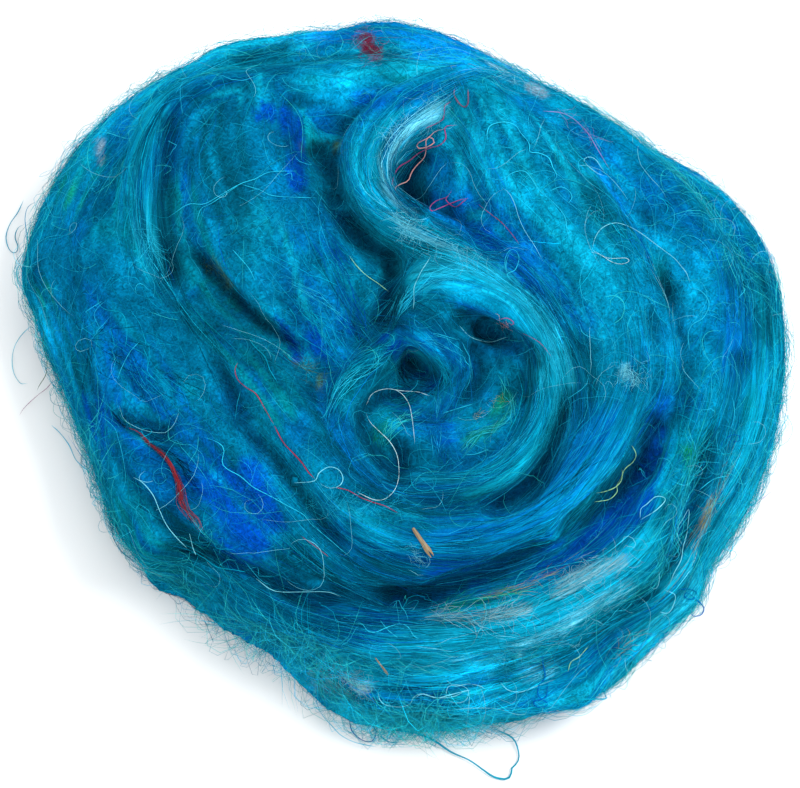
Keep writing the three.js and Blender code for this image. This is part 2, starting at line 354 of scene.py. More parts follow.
# Broad strokes that make the colour darker, or lighter if more than 1, among them painted shade in hollows
# and grooves and painted light along the rim: share of the light, reach and path
strokes = [
    (0.55, 20, [(360, 500), (420, 500), (470, 500)]),
    (0.42, 22, [(383, 300), (378, 340), (388, 372), (425, 382)]),
    (0.62, 18, [(405, 305), (425, 300), (440, 318)]), (0.52, 22, [(285, 372), (305, 382), (345, 384)]),
    (0.48, 24, [(176, 262), (196, 302), (230, 330), (265, 345)]),
    (0.42, 16, [(580, 350), (582, 380), (576, 410)]), (0.5, 22, [(172, 455), (184, 500), (186, 545)]),
    (0.65, 16, [(408, 418), (432, 425)]), (0.55, 22, [(290, 572), (305, 605), (350, 615), (420, 618)]),
    (0.62, 16, [(740, 365), (748, 400), (745, 430)]), (0.75, 18, [(745, 250), (735, 275)]),
    (0.6, 16, [(372, 64), (392, 60)]), (0.72, 22, [(240, 62), (278, 58)]),
    (0.75, 22, [(180, 370), (185, 395)]), (0.72, 20, [(575, 130), (585, 220)]),
    (0.7, 18, [(410, 170), (420, 185)]), (0.75, 18, [(600, 500), (625, 485)]),
    (0.62, 15, [(540, 372), (546, 392)]), (0.66, 16, [(494, 374), (512, 386)]),
    (0.66, 15, [(538, 294), (550, 310)]), (0.72, 22, [(655, 175), (700, 216)]),
    (0.66, 16, [(452, 102), (472, 108)]), (0.66, 15, [(408, 264), (432, 258)]),
    (0.7, 18, [(694, 414), (704, 466)]), (0.72, 20, [(210, 100), (230, 96)]),
    (0.75, 26, [(95, 296), (145, 304)]), (0.7, 14, [(440, 618), (480, 620)]),
    (1.8, 24, [(652, 255), (690, 268), (702, 300), (672, 335)]), (1.1, 14, [(664, 360), (660, 375)]),
    (1.9, 18, [(324, 104), (346, 94)]), (1.95, 17, [(486, 660), (545, 660)]),
    (1.6, 18, [(470, 698), (510, 702), (545, 696)]), (1.6, 18, [(294, 654), (312, 668)]),
    (1.6, 18, [(412, 54), (440, 56), (472, 68)]), (1.4, 18, [(56, 338), (66, 348)]),
    (1.3, 18, [(490, 180), (510, 190)]), (1.3, 16, [(448, 298), (470, 300)]),
    (1.45, 17, [(468, 286), (500, 296), (524, 314)]), (1.35, 20, [(490, 430), (505, 410)]),
    (1.4, 20, [(612, 170), (632, 190)]), (1.3, 22, [(50, 290), (66, 320)]),
    (1.6, 10, [(640, 652), (655, 640)]), (0.8, 10, [(578, 696), (598, 686)]),
    (1.8, 12, [(350, 712), (400, 722), (445, 722), (490, 716)]),
    (1.6, 12, [(200, 604), (240, 634), (262, 648), (285, 672), (310, 690)]),
    (1.5, 10, [(58, 370), (66, 400)]), (1.6, 10, [(36, 305), (42, 325), (52, 350)]),
    (1.5, 12, [(412, 342), (434, 342), (450, 354)]), (0.75, 14, [(456, 332), (468, 342)]),
    (0.86, 18, [(292, 58), (308, 62)]), (1.12, 18, [(212, 140), (228, 142)]),
    (1.12, 18, [(52, 296), (66, 306)]), (1.15, 18, [(290, 340), (310, 346)]),
    (1.25, 18, [(368, 620), (394, 622)]), (1.12, 18, [(490, 545), (512, 538)]),
    (1.35, 18, [(450, 576), (474, 578)]), (1.25, 16, [(488, 662), (514, 660)]),
    (1.15, 16, [(374, 94), (388, 106)]), (0.9, 18, [(572, 134), (590, 146)]),
    (0.9, 18, [(174, 132), (186, 148)]), (0.8, 16, [(252, 414), (268, 428)]),
    (1.15, 16, [(334, 174), (346, 188)]), (1.5, 10, [(34, 250), (36, 220), (46, 195)]),
    (1.45, 11, [(62, 168), (80, 148), (104, 122), (125, 106)]),
    (1.45, 11, [(190, 66), (214, 56), (240, 46)]), (1.9, 11, [(262, 42), (292, 36), (325, 30)]),
    (1.35, 11, [(425, 42), (450, 46), (480, 58)]), (1.5, 11, [(496, 66), (518, 74)]),
    (0.7, 13, [(742, 215), (752, 240)]), (0.42, 13, [(764, 275), (768, 305), (768, 330)]),
    (1.95, 16, [(655, 412), (662, 434)]), (1.35, 18, [(250, 478), (262, 502), (266, 526)]),
    (1.35, 14, [(490, 338), (512, 345)]), (0.78, 18, [(296, 288), (306, 312)]),
    (1.15, 16, [(406, 660), (424, 662)]), (0.72, 13, [(408, 108), (426, 106), (440, 102)]),
    (1.22, 17, [(532, 502), (550, 494)]), (0.86, 18, [(54, 214), (66, 228)]),
    (1.18, 15, [(536, 336), (545, 350)]), (0.86, 18, [(294, 134), (306, 148)]),
    (1.25, 16, [(736, 495), (746, 505)]), (0.85, 18, [(575, 250), (588, 268)]),
    (0.78, 16, [(250, 62), (268, 58)]), (0.78, 18, [(608, 545), (632, 532)]),
    (0.82, 16, [(572, 545), (590, 538)]), (0.72, 15, [(408, 456), (434, 464)]),
    (0.8, 18, [(612, 458), (622, 500)]), (1.22, 18, [(532, 256), (550, 266)]),
    (1.25, 18, [(334, 176), (346, 190)]), (1.22, 18, [(612, 216), (630, 226)]),
    (1.2, 18, [(490, 542), (512, 538)]), (1.2, 16, [(612, 336), (630, 346)]),
]

# Short pale fibre carded into the body: dye, share, reach and path
bloom = [
    ("pale", 0.35, 11, [(430, 112), (414, 121), (398, 136), (386, 156)]),
    ("dusk", 0.8, 4, [(101, 142), (100, 160)]), ("dusk", 0.8, 6, [(531, 86), (542, 92)]),
    ("ash", 0.6, 6, [(430, 614), (470, 618), (525, 610)]),
    ("ash", 0.6, 9, [(560, 588), (580, 577), (602, 568), (622, 563)]),
    ("pale", 0.7, 6, [(520, 648), (545, 640), (571, 622), (604, 600), (630, 586)]),
    ("ash", 0.5, 13, [(326, 676), (344, 686), (358, 693)]),
    ("pale", 0.6, 6, [(455, 660), (490, 655), (525, 645)]), ("pale", 0.6, 8, [(626, 370), (634, 380)]),
    ("cyan", 0.6, 9, [(655, 628), (680, 600), (700, 570)]),
    ("cyan", 0.5, 10, [(715, 545), (740, 505), (758, 470)]),
]

# Grooves and hollows deeper than the solid, with painted shade in them: reach in pixels, depth in mm, shade
# and path
creases = [
    (12, 2.0, 0.8, [(108, 412), (126, 419), (148, 426), (176, 436)]),
    (13, 2.0, 0.85, [(302, 146), (320, 152), (332, 170), (336, 192), (346, 214)]),
    (12, 2.5, 0.9, [(340, 204), (354, 226), (372, 246), (394, 260), (402, 264)]),
    (14, 2.0, 0.94, [(428, 148), (412, 164), (405, 182), (412, 202), (432, 214)]),
    (14, 4.0, 0.2, [(428, 210), (452, 222), (482, 238), (506, 256)]),
    (9, 3.5, 0.7, [(468, 336), (480, 352), (482, 372), (472, 392), (452, 402)]),
    (9, 2.0, 0.8, [(416, 398), (380, 396), (362, 412), (361, 426), (372, 446), (392, 472), (412, 482)]),
    (11, 2.5, 0.85, [(392, 254), (390, 274), (386, 302), (378, 334)]),
    (10, 3.5, 0.52, [(446, 314), (468, 320), (500, 334), (528, 352), (542, 372)]),
    (8, 1.5, 0.4, [(233, 60), (262, 50), (290, 42)]),
    (12, 3.0, 0.8, [(192, 108), (172, 124), (166, 178), (166, 232), (170, 262), (170, 296)]),
    (7, 3.0, 0.85, [(190, 246), (206, 266), (230, 293), (258, 320), (288, 342), (306, 356)]),
    (8, 2.0, 0.65, [(206, 340), (226, 380), (246, 430), (276, 462), (312, 506), (340, 545), (360, 566)]),
    (9, 2.5, 0.6, [(150, 545), (212, 560), (255, 574), (306, 598), (360, 590)]),
    (12, 5.0, 0.88, [(566, 383), (564, 406), (558, 428), (551, 449), (540, 471),
                     (524, 489), (499, 504), (478, 510)]),
    (8, 3.0, 0.4, [(650, 300), (660, 350), (660, 410)]),
    (14, 5.0, 0.92, [(660, 395), (655, 425), (640, 468), (602, 503), (556, 538)]),
    (11, 4.0, 0.85, [(556, 538), (489, 573), (425, 597), (360, 594)]),
    (9.5, 4.5, 0.75, [(712, 420), (702, 470), (690, 530), (668, 570), (638, 602), (600, 624), (570, 642)]),
    (10, 1.5, 0.85, [(390, 432), (400, 452), (402, 470), (398, 486)]),
    (8, 1.0, 0.3, [(735, 350), (745, 365), (755, 362)]),
]

# Places where one turn grows out of another, smoothed over: pixel, reach in pixels and passes
melds = [
    ((105, 240), 34, 40), ((392, 296), 18, 14), ((118, 428), 16, 12), ((325, 155), 24, 10),
    ((375, 272), 30, 26), ((498, 362), 26, 40), ((432, 382), 24, 8), ((315, 380), 20, 20),
    ((662, 265), 24, 24), ((745, 360), 20, 14), ((430, 180), 30, 8),
]

# Loose fibre that half fills the hollows: pixel and height in mm of points on each pad
pads = {
    "hairpin": [
        (448, 116, 42), (432, 126, 41), (418, 138, 38), (408, 152, 34), (404, 170, 31), (408, 190, 30),
        (418, 206, 31), (434, 210, 34), (424, 190, 32), (420, 165, 33), (432, 150, 37), (436, 175, 35),
        (446, 195, 37), (452, 165, 40), (455, 212, 41), (462, 185, 41), (470, 222, 43), (485, 236, 45),
        (500, 250, 46), (512, 262, 47),
    ],
    "lobeTop": [
        (308, 148, 35), (322, 150, 33), (336, 148, 33), (318, 168, 37), (330, 172, 35), (338, 188, 36),
        (344, 206, 38),
    ],
    "lobeSide": [
        (352, 256, 41), (362, 266, 40), (372, 274, 38), (382, 270, 36), (360, 284, 40), (372, 292, 39),
        (383, 296, 37), (366, 306, 40), (377, 312, 38), (370, 322, 39), (383, 326, 38),
    ],
    "tailSide": [
        (486, 345, 35), (498, 348, 34), (510, 352, 35), (492, 362, 36), (505, 368, 37), (488, 378, 36),
        (500, 388, 37), (478, 396, 36), (490, 402, 37),
    ],
    "olivePit": [
        (300, 366, 36), (310, 374, 36), (318, 384, 36), (306, 384, 37), (322, 392, 36), (326, 374, 37),
    ],
    "tailPit": [
        (405, 402, 33), (420, 406, 34), (434, 402, 35), (412, 390, 32), (430, 390, 33), (400, 380, 31),
    ],
}
padShape = {"step": 1.2 * mm, "spread": 3.5 * mm, "edge": 3.0 * mm, "fall": 0.5, "thickness": 15 * mm}

# Where the rim lies further in than the solid's, or further out if less than 0: mm, reach in mm and path
rims = [
    (2.0, 14, [(400, 738), (430, 742), (475, 736)]), (3.6, 14, [(185, 610), (208, 628), (240, 648)]),
    (2.6, 13, [(36, 335), (52, 385), (78, 450), (95, 500), (110, 540)]),
    (-2.6, 14, [(225, 50), (260, 46), (292, 40)]), (-1.8, 10, [(362, 28), (390, 28)]),
    (-2.5, 14, [(680, 610), (640, 650), (600, 690)]),
]
rimHeight = 10 * mm

# Where the strands lie combed side by side: reach in pixels and path
combed = [
    (24, [(440, 110), (395, 140), (372, 185), (392, 225), (440, 250), (500, 272)]),
    (26, [(400, 300), (430, 270), (475, 265), (525, 295), (552, 345), (560, 390)]),
    (30, [(360, 560), (440, 560), (520, 540), (585, 490), (620, 430)]),
    (40, [(330, 620), (420, 630), (520, 620), (600, 585), (660, 530)]),
    (26, [(360, 690), (450, 690), (560, 660), (640, 610), (700, 540)]),
    (18, [(150, 105), (145, 150), (152, 225), (158, 270)]),
    (24, [(740, 350), (765, 420), (752, 490), (722, 560)]),
    (16, [(540, 370), (546, 410), (528, 452), (495, 480), (450, 492), (400, 492)]),
    (16, [(408, 348), (430, 342), (452, 350), (465, 372)]),
]

feltGrain = (9 * mm, 4 * mm)  # blots and specks of the felt

# Grain drawn out along the lay: length and width in mm, and a shift that sets each apart
layGrain = {
    "tone": (45, 12, 0),
    "fine": (16, 4, 5),
    "streaks": (32, 1.5, 9),
    "depth": (26, 8, 13),
    "combed": (11, 2.2, 17),
    "tufts": (7, 2.2, 31),
    "pick": (40, 2.4, 3),
}

deepShade = {"most": 0.93, "range": (0.12, 0.60)}  # how dark the fibres are where little light gets in

toneRamp = {
    "place": (-0.15, 0.12, 0.44, 0.68, 0.88, 1.1),
    "dye": ("cobalt", "cerulean", "petrol", "turquoise", "teal", "aqua"),
}


# The distance of pixels from a path, and how far along the path they are, from 0 to 1
def reachOf(pixels, path):
    path = np.array(path, float)
    start, way = path[:-1], np.diff(path, axis=0)
    lengths = np.linalg.norm(way, axis=1)
    away = pixels[:, None] - start[None]
    t = np.clip((away * way).sum(2) / lengths**2, 0, 1)
    reach = np.linalg.norm(away - t[:, :, None] * way, axis=2)
    k = reach.argmin(1)
    row = np.arange(len(pixels))
    along = (np.cumsum(lengths) - lengths)[k] + t[row, k] * lengths[k]
    return reach[row, k], along / lengths.sum()


def nearness(pixels, path, start, end):
    return 1 - ease(reachOf(pixels, path)[0], start, end)


def grooveAt(pixels, path, start, end):
    reach, along = reachOf(pixels, path)
    return (1 - ease(reach, start, end)) * ease(np.minimum(along, 1 - along), -0.03, 0.16)


# How far the rim is drawn in at these places
def rimDrawn(points):
    drawn = np.zeros(len(points))
    for inward, reach, path in rims:
        rays = raysThrough(np.array(path, float))
        spots = eye + rays * ((rimHeight - eye[2]) / rays[:, 2])[:, None]
        drawn += inward * mm * nearness(points[:, :2], spots[:, :2], 0.3 * reach * mm, reach * mm)
    return drawn


def seenFrom(normals):
    return ease(normals @ toEye, -0.05, 0.2)


def combedAt(points):
    pixels = pixelsOf(points)
    return np.max([nearness(pixels, path, 0.6 * reach, 1.3 * reach) for reach, path in combed], axis=0)


def alongLay(lay, length, width, shift):
    s, c, n = lay.T
    return noiseAt(s / length, c / width, n + shift)


def strokeAt(pixels, path, reach):
    return nearness(pixels, path, 0.3 * reach, 1.6 * reach)


# The dyed colour of fibres at these places, with painted shade where little of the sky reaches them and in
# the creases. pick, from 0 to 1, chooses between dyes where they run together, lean shifts the tone, and
# soft is how gently one dye gives way to the next.
def fibreColour(points, lay, openness, seen, pick, lean=0.0, soft=0.05, runs=dyeRuns):
    sleek = combedAt(points)
    blots, specks = (noiseAt(*(points / size).T) for size in feltGrain)
    streaks = sleek * alongLay(lay, *layGrain["streaks"])
    fine = sleek * alongLay(lay, *layGrain["fine"]) + (1 - sleek) * blots
    tufts = 0.6 * specks + 0.9 * alongLay(lay, *layGrain["tufts"])
    grain = 1.3 * sleek * alongLay(lay, *layGrain["combed"]) + (1 - sleek) * tufts
    tone = 0.5 + lean + 0.45 * alongLay(lay, *layGrain["tone"]) + 0.3 * fine + 0.3 * streaks
    channels = dyesOf(toneRamp["dye"]).T
    colour = np.column_stack([np.interp(tone, toneRamp["place"], channel) for channel in channels])
    depth = 0.8 * alongLay(lay, *layGrain["depth"]) + 0.6 * grain + 1.1 * streaks
    colour = colour * np.exp(depth)[:, None]
    pixels = pixelsOf(points)
    for dye, share, reach, path in runs:
        near = strokeAt(pixels, path, reach) * seen
        taken = (ease(near * share - pick, -soft, soft) * np.minimum(near * 6, 1))[:, None]
        colour = colour * (1 - taken) + np.array(dyes[dye]) * np.exp(0.6 * depth)[:, None] * taken
    # Broad strokes, among them painted shade in hollows and grooves and painted light along the rim
    for share, reach, path in strokes:
        near = strokeAt(pixels, path, reach) * seen
        colour = colour * np.exp(math.log(share) * near)[:, None]
    # Painted shade: the colour goes towards navy where little of the sky reaches the skin, and in the
    # creases
    dark = deepShade["most"] * (1 - ease(openness, *deepShade["range"]))
    for reach, _, shade, path in creases:
        dark = np.maximum(dark, shade * seen * grooveAt(pixels, path, 0.2 * reach, 1.4 * reach))
    return np.maximum(colour * (1 - dark[:, None]) + np.array(dyes["navy"]) * dark[:, None], 0)


# Silk body: the wound form in one skin, with soft ridges along the lay
silkBody = {
    "weld": 0.001 * mm,
    "voxel": 1.2 * mm,
    "smoothing": 6,
    "flatBelow": 0.5 * mm,  # the underside stays flat
    "meldAbove": 8 * mm,
    # length, width and height in mm, and the share of it where the silk is felted
    "ridges": [(60, 7.5, 1.0, 0.8), (40, 3.4, 0.36, 0.35), (24, 1.7, 0.12, 0.3)],
    "lightRays": 20,
    "lightReach": 24 * mm,
    "lightStart": 0.8 * mm,  # light is looked for from this far off the skin
    "lightFacing": -0.6,  # faces turned down further than this aren't shaded
    "skyward": 0.5,  # how far the light leans up from the normal
    "lightCone": 1.05,
    "lightEvening": 3,
    "tableFade": (0.3 * mm, 3 * mm),  # ridges fade out this near the table
    "rimRadius": (62 * mm, 76 * mm),
    "front": (35 * mm, 80 * mm),
    "ragged": 16 * mm,  # size of the unevenness of the rim
    "raggedness": 1.1,
    "rimDraw": (0.5, 3.4),  # how far the rim is drawn in, in mm: all round, and more in front
}


def smoothVerts(bm, verts, passes):
    for _ in range(passes):
        bmesh.ops.smooth_vert(bm, verts=verts, factor=0.5, use_axis_x=True, use_axis_y=True, use_axis_z=True)


def remeshedNest():
    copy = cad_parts["silk_nest"].data.copy()
    bm = bmesh.new()
    bm.from_mesh(copy)
    bmesh.ops.remove_doubles(bm, verts=bm.verts, dist=silkBody["weld"])
    for rows in pads.values():
        addPad(bm, rows)
    bmesh.ops.recalc_face_normals(bm, faces=bm.faces)
    bm.to_mesh(copy)
    bm.free()
    holder = bpy.data.objects.new("nest_copy", copy)
    bpy.context.scene.collection.objects.link(holder)
    remesh = holder.modifiers.new("voxels", "REMESH")
    remesh.mode = "VOXEL"
    remesh.voxel_size = silkBody["voxel"]
    made = bpy.data.meshes.new_from_object(holder.evaluated_get(bpy.context.evaluated_depsgraph_get()))
    bpy.data.objects.remove(holder)
    bm = bmesh.new()
    bm.from_mesh(made)
    smoothVerts(bm, [v for v in bm.verts if v.co.z > silkBody["flatBelow"]], silkBody["smoothing"])
    bm.verts.ensure_lookup_table()
    pixels = pixelsOf(np.array([v.co for v in bm.verts]))
    for spot, reach, passes in melds:
        near = [bm.verts[i] for i in np.flatnonzero(np.linalg.norm(pixels - spot, axis=1) < reach)]
        smoothVerts(bm, [v for v in near if v.co.z > silkBody["meldAbove"]], passes)
    bm.to_mesh(made)
    bm.free()
    return made


# A pad of loose fibre: a sheet through its points that falls away past them, with a thickness below
def addPad(bm, rows):
    rows = np.array(rows, float)
    rays = raysThrough(rows[:, :2])
    spots = eye + rays * ((rows[:, 2:] * mm - eye[2]) / rays[:, 2:])
    low = spots.min(0)[:2] - 2.5 * padShape["edge"]
    size = spots.max(0)[:2] + 2.5 * padShape["edge"] - low
    across, deep = np.ceil(size / padShape["step"]).astype(int).tolist()
    verts = bmesh.ops.create_grid(bm, x_segments=across, y_segments=deep, size=0.5)["verts"]
    flat = np.array([v.co for v in verts])[:, :2] * size + low + size / 2
    away = np.linalg.norm(flat[:, None] - spots[None, :, :2], axis=2)
    weight = np.exp(-((away / padShape["spread"]) ** 2) / 2)
    height = (weight * spots[:, 2]).sum(1) / weight.sum(1)
    beyond = np.maximum(away.min(1) - padShape["edge"], 0)
    height = height - padShape["fall"] * beyond**2 / mm
    for v, (x, y), z in zip(verts, flat, height):
        v.co = (x, y, z)
    faces = {f for v in verts for f in v.link_faces}
    edges = {e for f in faces for e in f.edges}
    under = bmesh.ops.extrude_face_region(bm, geom=[*verts, *edges, *faces], use_keep_orig=True)["geom"]
    under = [v for v in under if isinstance(v, bmesh.types.BMVert)]
    bmesh.ops.translate(bm, verts=under, vec=(0, 0, -padShape["thickness"]))


def readRows(items, name, width, kind=float):
    values = np.empty(len(items) * width, kind)
    items.foreach_get(name, values)
    return values.reshape(-1, width)


def setColours(mesh, colours):
    layer = mesh.color_attributes.new("silkColour", "FLOAT_COLOR", "POINT")
    rgba = np.column_stack([colours, np.ones(len(colours))]).astype(np.float32)
    layer.data.foreach_set("color", rgba.ravel())


def setSmooth(mesh):
    mesh.polygons.foreach_set("use_smooth", np.ones(len(mesh.polygons), bool))


def addPiece(name, mesh, material):
    piece = bpy.data.objects.new(name, mesh)
    bpy.context.scene.collection.objects.link(piece)
    mesh.materials.clear()
    mesh.materials.append(material)
    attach(piece, "root")
    mesh.calc_loop_triangles()
    print(name + ":", len(mesh.loop_triangles), "triangles")
    return piece


def startMaterial(name):
    material = bpy.data.materials.new(name)
    material.use_nodes = True
    return material, material.node_tree, material.node_tree.nodes["Principled BSDF"]


# Each input is a value, or the socket that feeds it
def setInputs(tree, node, inputs):
    for name, value in inputs.items():
        if isinstance(value, bpy.types.NodeSocket):
            tree.links.new(value, node.inputs[name])
        else:
            node.inputs[name].default_value = value


# Adds a shader node and gives back its output of this name, or the node itself
def addNode(tree, kind, output=None, inputs=None, attribute=None, operation=None):
    node = tree.nodes.new("ShaderNode" + kind)
    if attribute:
        node.attribute_name = attribute
    if operation:
        node.operation = operation
    setInputs(tree, node, inputs or {})
    return node.outputs[output] if output else node


def rangeInputs(low, high, start=0.0, end=1.0):
    return {"From Min": start, "From Max": end, "To Min": low, "To Max": high}


# Carded silk under the fibres: dyed by attribute, with streaks and bump along the lay
def cardedSilk():
    material, tree, silk = startMaterial("carded_silk")
    colour = addNode(tree, "Attribute", "Color", attribute="silkColour")
    lay = addNode(tree, "Attribute", "Vector", attribute="lay")
    sleek = addNode(tree, "Attribute", "Fac", attribute="sleek")
    place = addNode(tree, "TexCoord", "Object")
    stretch = addNode(tree, "Mapping", "Vector", {"Vector": lay, "Scale": (0.05, 1.6, 1.0)})
    streaks = addNode(tree, "TexNoise", "Fac", {
        "Vector": stretch, "Scale": 1.0, "Detail": 4.0, "Roughness": 0.65,
    })
    felt = addNode(tree, "TexNoise", "Fac", {
        "Vector": place, "Scale": 800.0, "Detail": 4.0, "Roughness": 0.6, "Distortion": 1.5,
    })
    grain = addNode(tree, "Mix", "Result", {"Factor": sleek, "A": felt, "B": streaks})
    shades = addNode(tree, "MapRange", "Result", {"Value": grain, **rangeInputs(0.54, 1.44, 0.3, 0.7)})
    clumps = addNode(tree, "MapRange", "Result", {"Value": felt, **rangeInputs(0.85, 1.12, 0.3, 0.7)})
    depth = addNode(tree, "Math", "Value", {0: shades, 1: clumps}, operation="MULTIPLY")
    dyed = addNode(tree, "VectorMath", "Vector", {0: colour, "Scale": depth}, operation="SCALE")
    gloss = addNode(tree, "MapRange", "Result", {"Value": streaks, **rangeInputs(0.5, 0.8)})
    bump = addNode(tree, "Bump", "Normal", {"Height": grain, "Strength": 0.3, "Distance": 0.3 * mm})
    setInputs(tree, silk, {
        "Base Color": dyed,
        "Roughness": gloss,
        "Normal": bump,
        "Specular IOR Level": 0.0,
        "Sheen Weight": 0.25,
        "Sheen Roughness": 0.45,
        "Sheen Tint": (0.01, 0.65, 1.0, 1.0),
    })
    return material


# The share of the sky that reaches each point of the skin
def opennessOf(tree, points, normals, rng):
    rays = silkBody["lightRays"]
    way = unit(rng.standard_normal((rays, 3)))
    opened = np.ones(len(points))
    shaded = (normals[:, 2] > silkBody["lightFacing"]) & (points[:, 2] > silkBody["flatBelow"])
    for i in np.flatnonzero(shaded):
        lean = unit(normals[i] + (0, 0, silkBody["skyward"]))
        start = points[i] + normals[i] * silkBody["lightStart"]
        ways = unit(way + lean * silkBody["lightCone"])
        hits = sum(tree.ray_cast(start, w, silkBody["lightReach"])[0] is not None for w in ways.tolist())
        opened[i] = 1 - hits / rays
    return opened


# Evens values out between the ends of each edge
def softened(values, ends, times):
    a, b = ends.T
    count = np.bincount(ends.ravel(), minlength=len(values))
    for _ in range(times):
        total = np.bincount(a, values[b], len(values)) + np.bincount(b, values[a], len(values))
        values = (values + total / np.maximum(count, 1)) / 2
    return values


def makeBody():
    mesh = remeshedNest()
    points, normals = readRows(mesh.vertices, "co", 3), readRows(mesh.vertices, "normal", 3)
    lay, run = layOf(points)
    sleek, seen = combedAt(points), seenFrom(normals)
    rise = np.zeros(len(points))
    for number, (length, width, height, felted) in enumerate(silkBody["ridges"]):
        rise += height * alongLay(lay, length, width, 20 * number) * (felted + (1 - felted) * sleek)
    pixels = pixelsOf(points)
    for reach, depth, _, path in creases:
        rise -= depth * seen * grooveAt(pixels, path, 0.2 * reach, 1.6 * reach)
    outward = unit(points * (1, 1, 0))
    edge = ease((normals * outward).sum(1), 0.0, 0.7)
    edge = edge * ease(np.hypot(points[:, 0], points[:, 1]), *silkBody["rimRadius"])
    front = ease(-points[:, 1], *silkBody["front"])
    ragged = 1 + silkBody["raggedness"] * noiseAt(*(points / silkBody["ragged"]).T)
    least, more = silkBody["rimDraw"]
    rise -= edge * ragged * (least + more * front)
    rise *= ease(points[:, 2], *silkBody["tableFade"])
    points = points + normals * (rise * mm)[:, None] - outward * rimDrawn(points)[:, None]
    points[:, 2] = np.maximum(points[:, 2], 0)
    mesh.vertices.foreach_set("co", points.ravel())
    mesh.update()
    setSmooth(mesh)
    faces = [tuple(p.vertices) for p in mesh.polygons]
    tree = BVHTree.FromPolygons(points.tolist(), faces)
    normals = readRows(mesh.vertices, "normal", 3)
    openness = opennessOf(tree, points, normals, np.random.default_rng(1))
    ends = readRows(mesh.edges, "vertices", 2, np.int32)
    openness = softened(openness, ends, silkBody["lightEvening"])
    pick = np.clip(0.5 + 0.9 * alongLay(lay, *layGrain["pick"]), 0, 1)
    seen = seenFrom(normals)
    setColours(mesh, fibreColour(points, lay, openness, seen, pick, soft=0.3, runs=dyeRuns + bloom))
    layer = mesh.attributes.new("sleek", "FLOAT", "POINT")
    layer.data.foreach_set("value", sleek.astype(np.float32))
    layer = mesh.attributes.new("lay", "FLOAT_VECTOR", "POINT")
    layer.data.foreach_set("vector", lay.astype(np.float32).ravel())
    piece = addPiece("silk_body", mesh, cardedSilk())
    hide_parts("silk_nest")
    return SimpleNamespace(
        tree=tree,
        points=points,
        normals=normals,
        corner=np.array([f[0] for f in faces]),
        faces=faces,
        run=run,
        lay=lay,
        openness=openness,
        seen=seen,
    )


skin = makeBody()


underside = {"facing": -0.5, "below": 1.0 * mm}  # where no fibres start
fibreGap = 0.05 * mm  # how far all fibres stay off the table


# Places spread evenly over the skin, less its underside
def scatter(count, rng, weight=None):
    faces = np.array([f[:4] for f in skin.faces if len(f) == 4])
    a, b, c, d = (skin.points[faces[:, k]] for k in range(4))
    area = np.linalg.norm(np.cross(c - a, d - b), axis=1) / 2
    middle = (a + b + c + d) / 4
    facing = skin.normals[faces[:, 0]][:, 2]
    area *= (facing > underside["facing"]) & (middle[:, 2] > underside["below"])
    if weight is not None:
        area = area * weight(middle, skin.normals[faces[:, 0]])
    picked = rng.choice(len(faces), count, p=area / area.sum())
    u, v = rng.random((2, count, 1))
    spots = (a[picked] * (1 - u) + b[picked] * u) * (1 - v) + (d[picked] * (1 - u) + c[picked] * u) * v
    return spots, faces[picked, 0]


def findOnSkin(points):
    near, normal, corner = [], [], []
    for p in points.tolist():
        spot, way, face, _ = skin.tree.find_nearest(p)
        near.append(spot)
        normal.append(way)
        corner.append(face)
    return np.array(near), np.array(normal), skin.corner[corner]


# Walks fibres over the skin. follow is how closely they keep to the lay, and bends is the turn at each step.
def walk(starts, headings, stride, follow, bends):
    place, heading = starts, headings
    spots, normals = [], []
    for step in range(bends.shape[1]):
        near, normal, corner = findOnSkin(place)
        spots.append(near)
        normals.append(normal)
        flow = skin.run[corner]
        flow = flow * np.where(dot(flow, heading) < 0, -1, 1)
        heading = unit(heading * (1 - follow) + flow * follow)
        heading = unit(heading - normal * dot(heading, normal))
        turn = bends[:, step : step + 1]
        heading = heading * np.cos(turn) + np.cross(normal, heading) * np.sin(turn)
        place = near + heading * stride[:, None]
    return np.stack(spots, 1), np.stack(normals, 1)


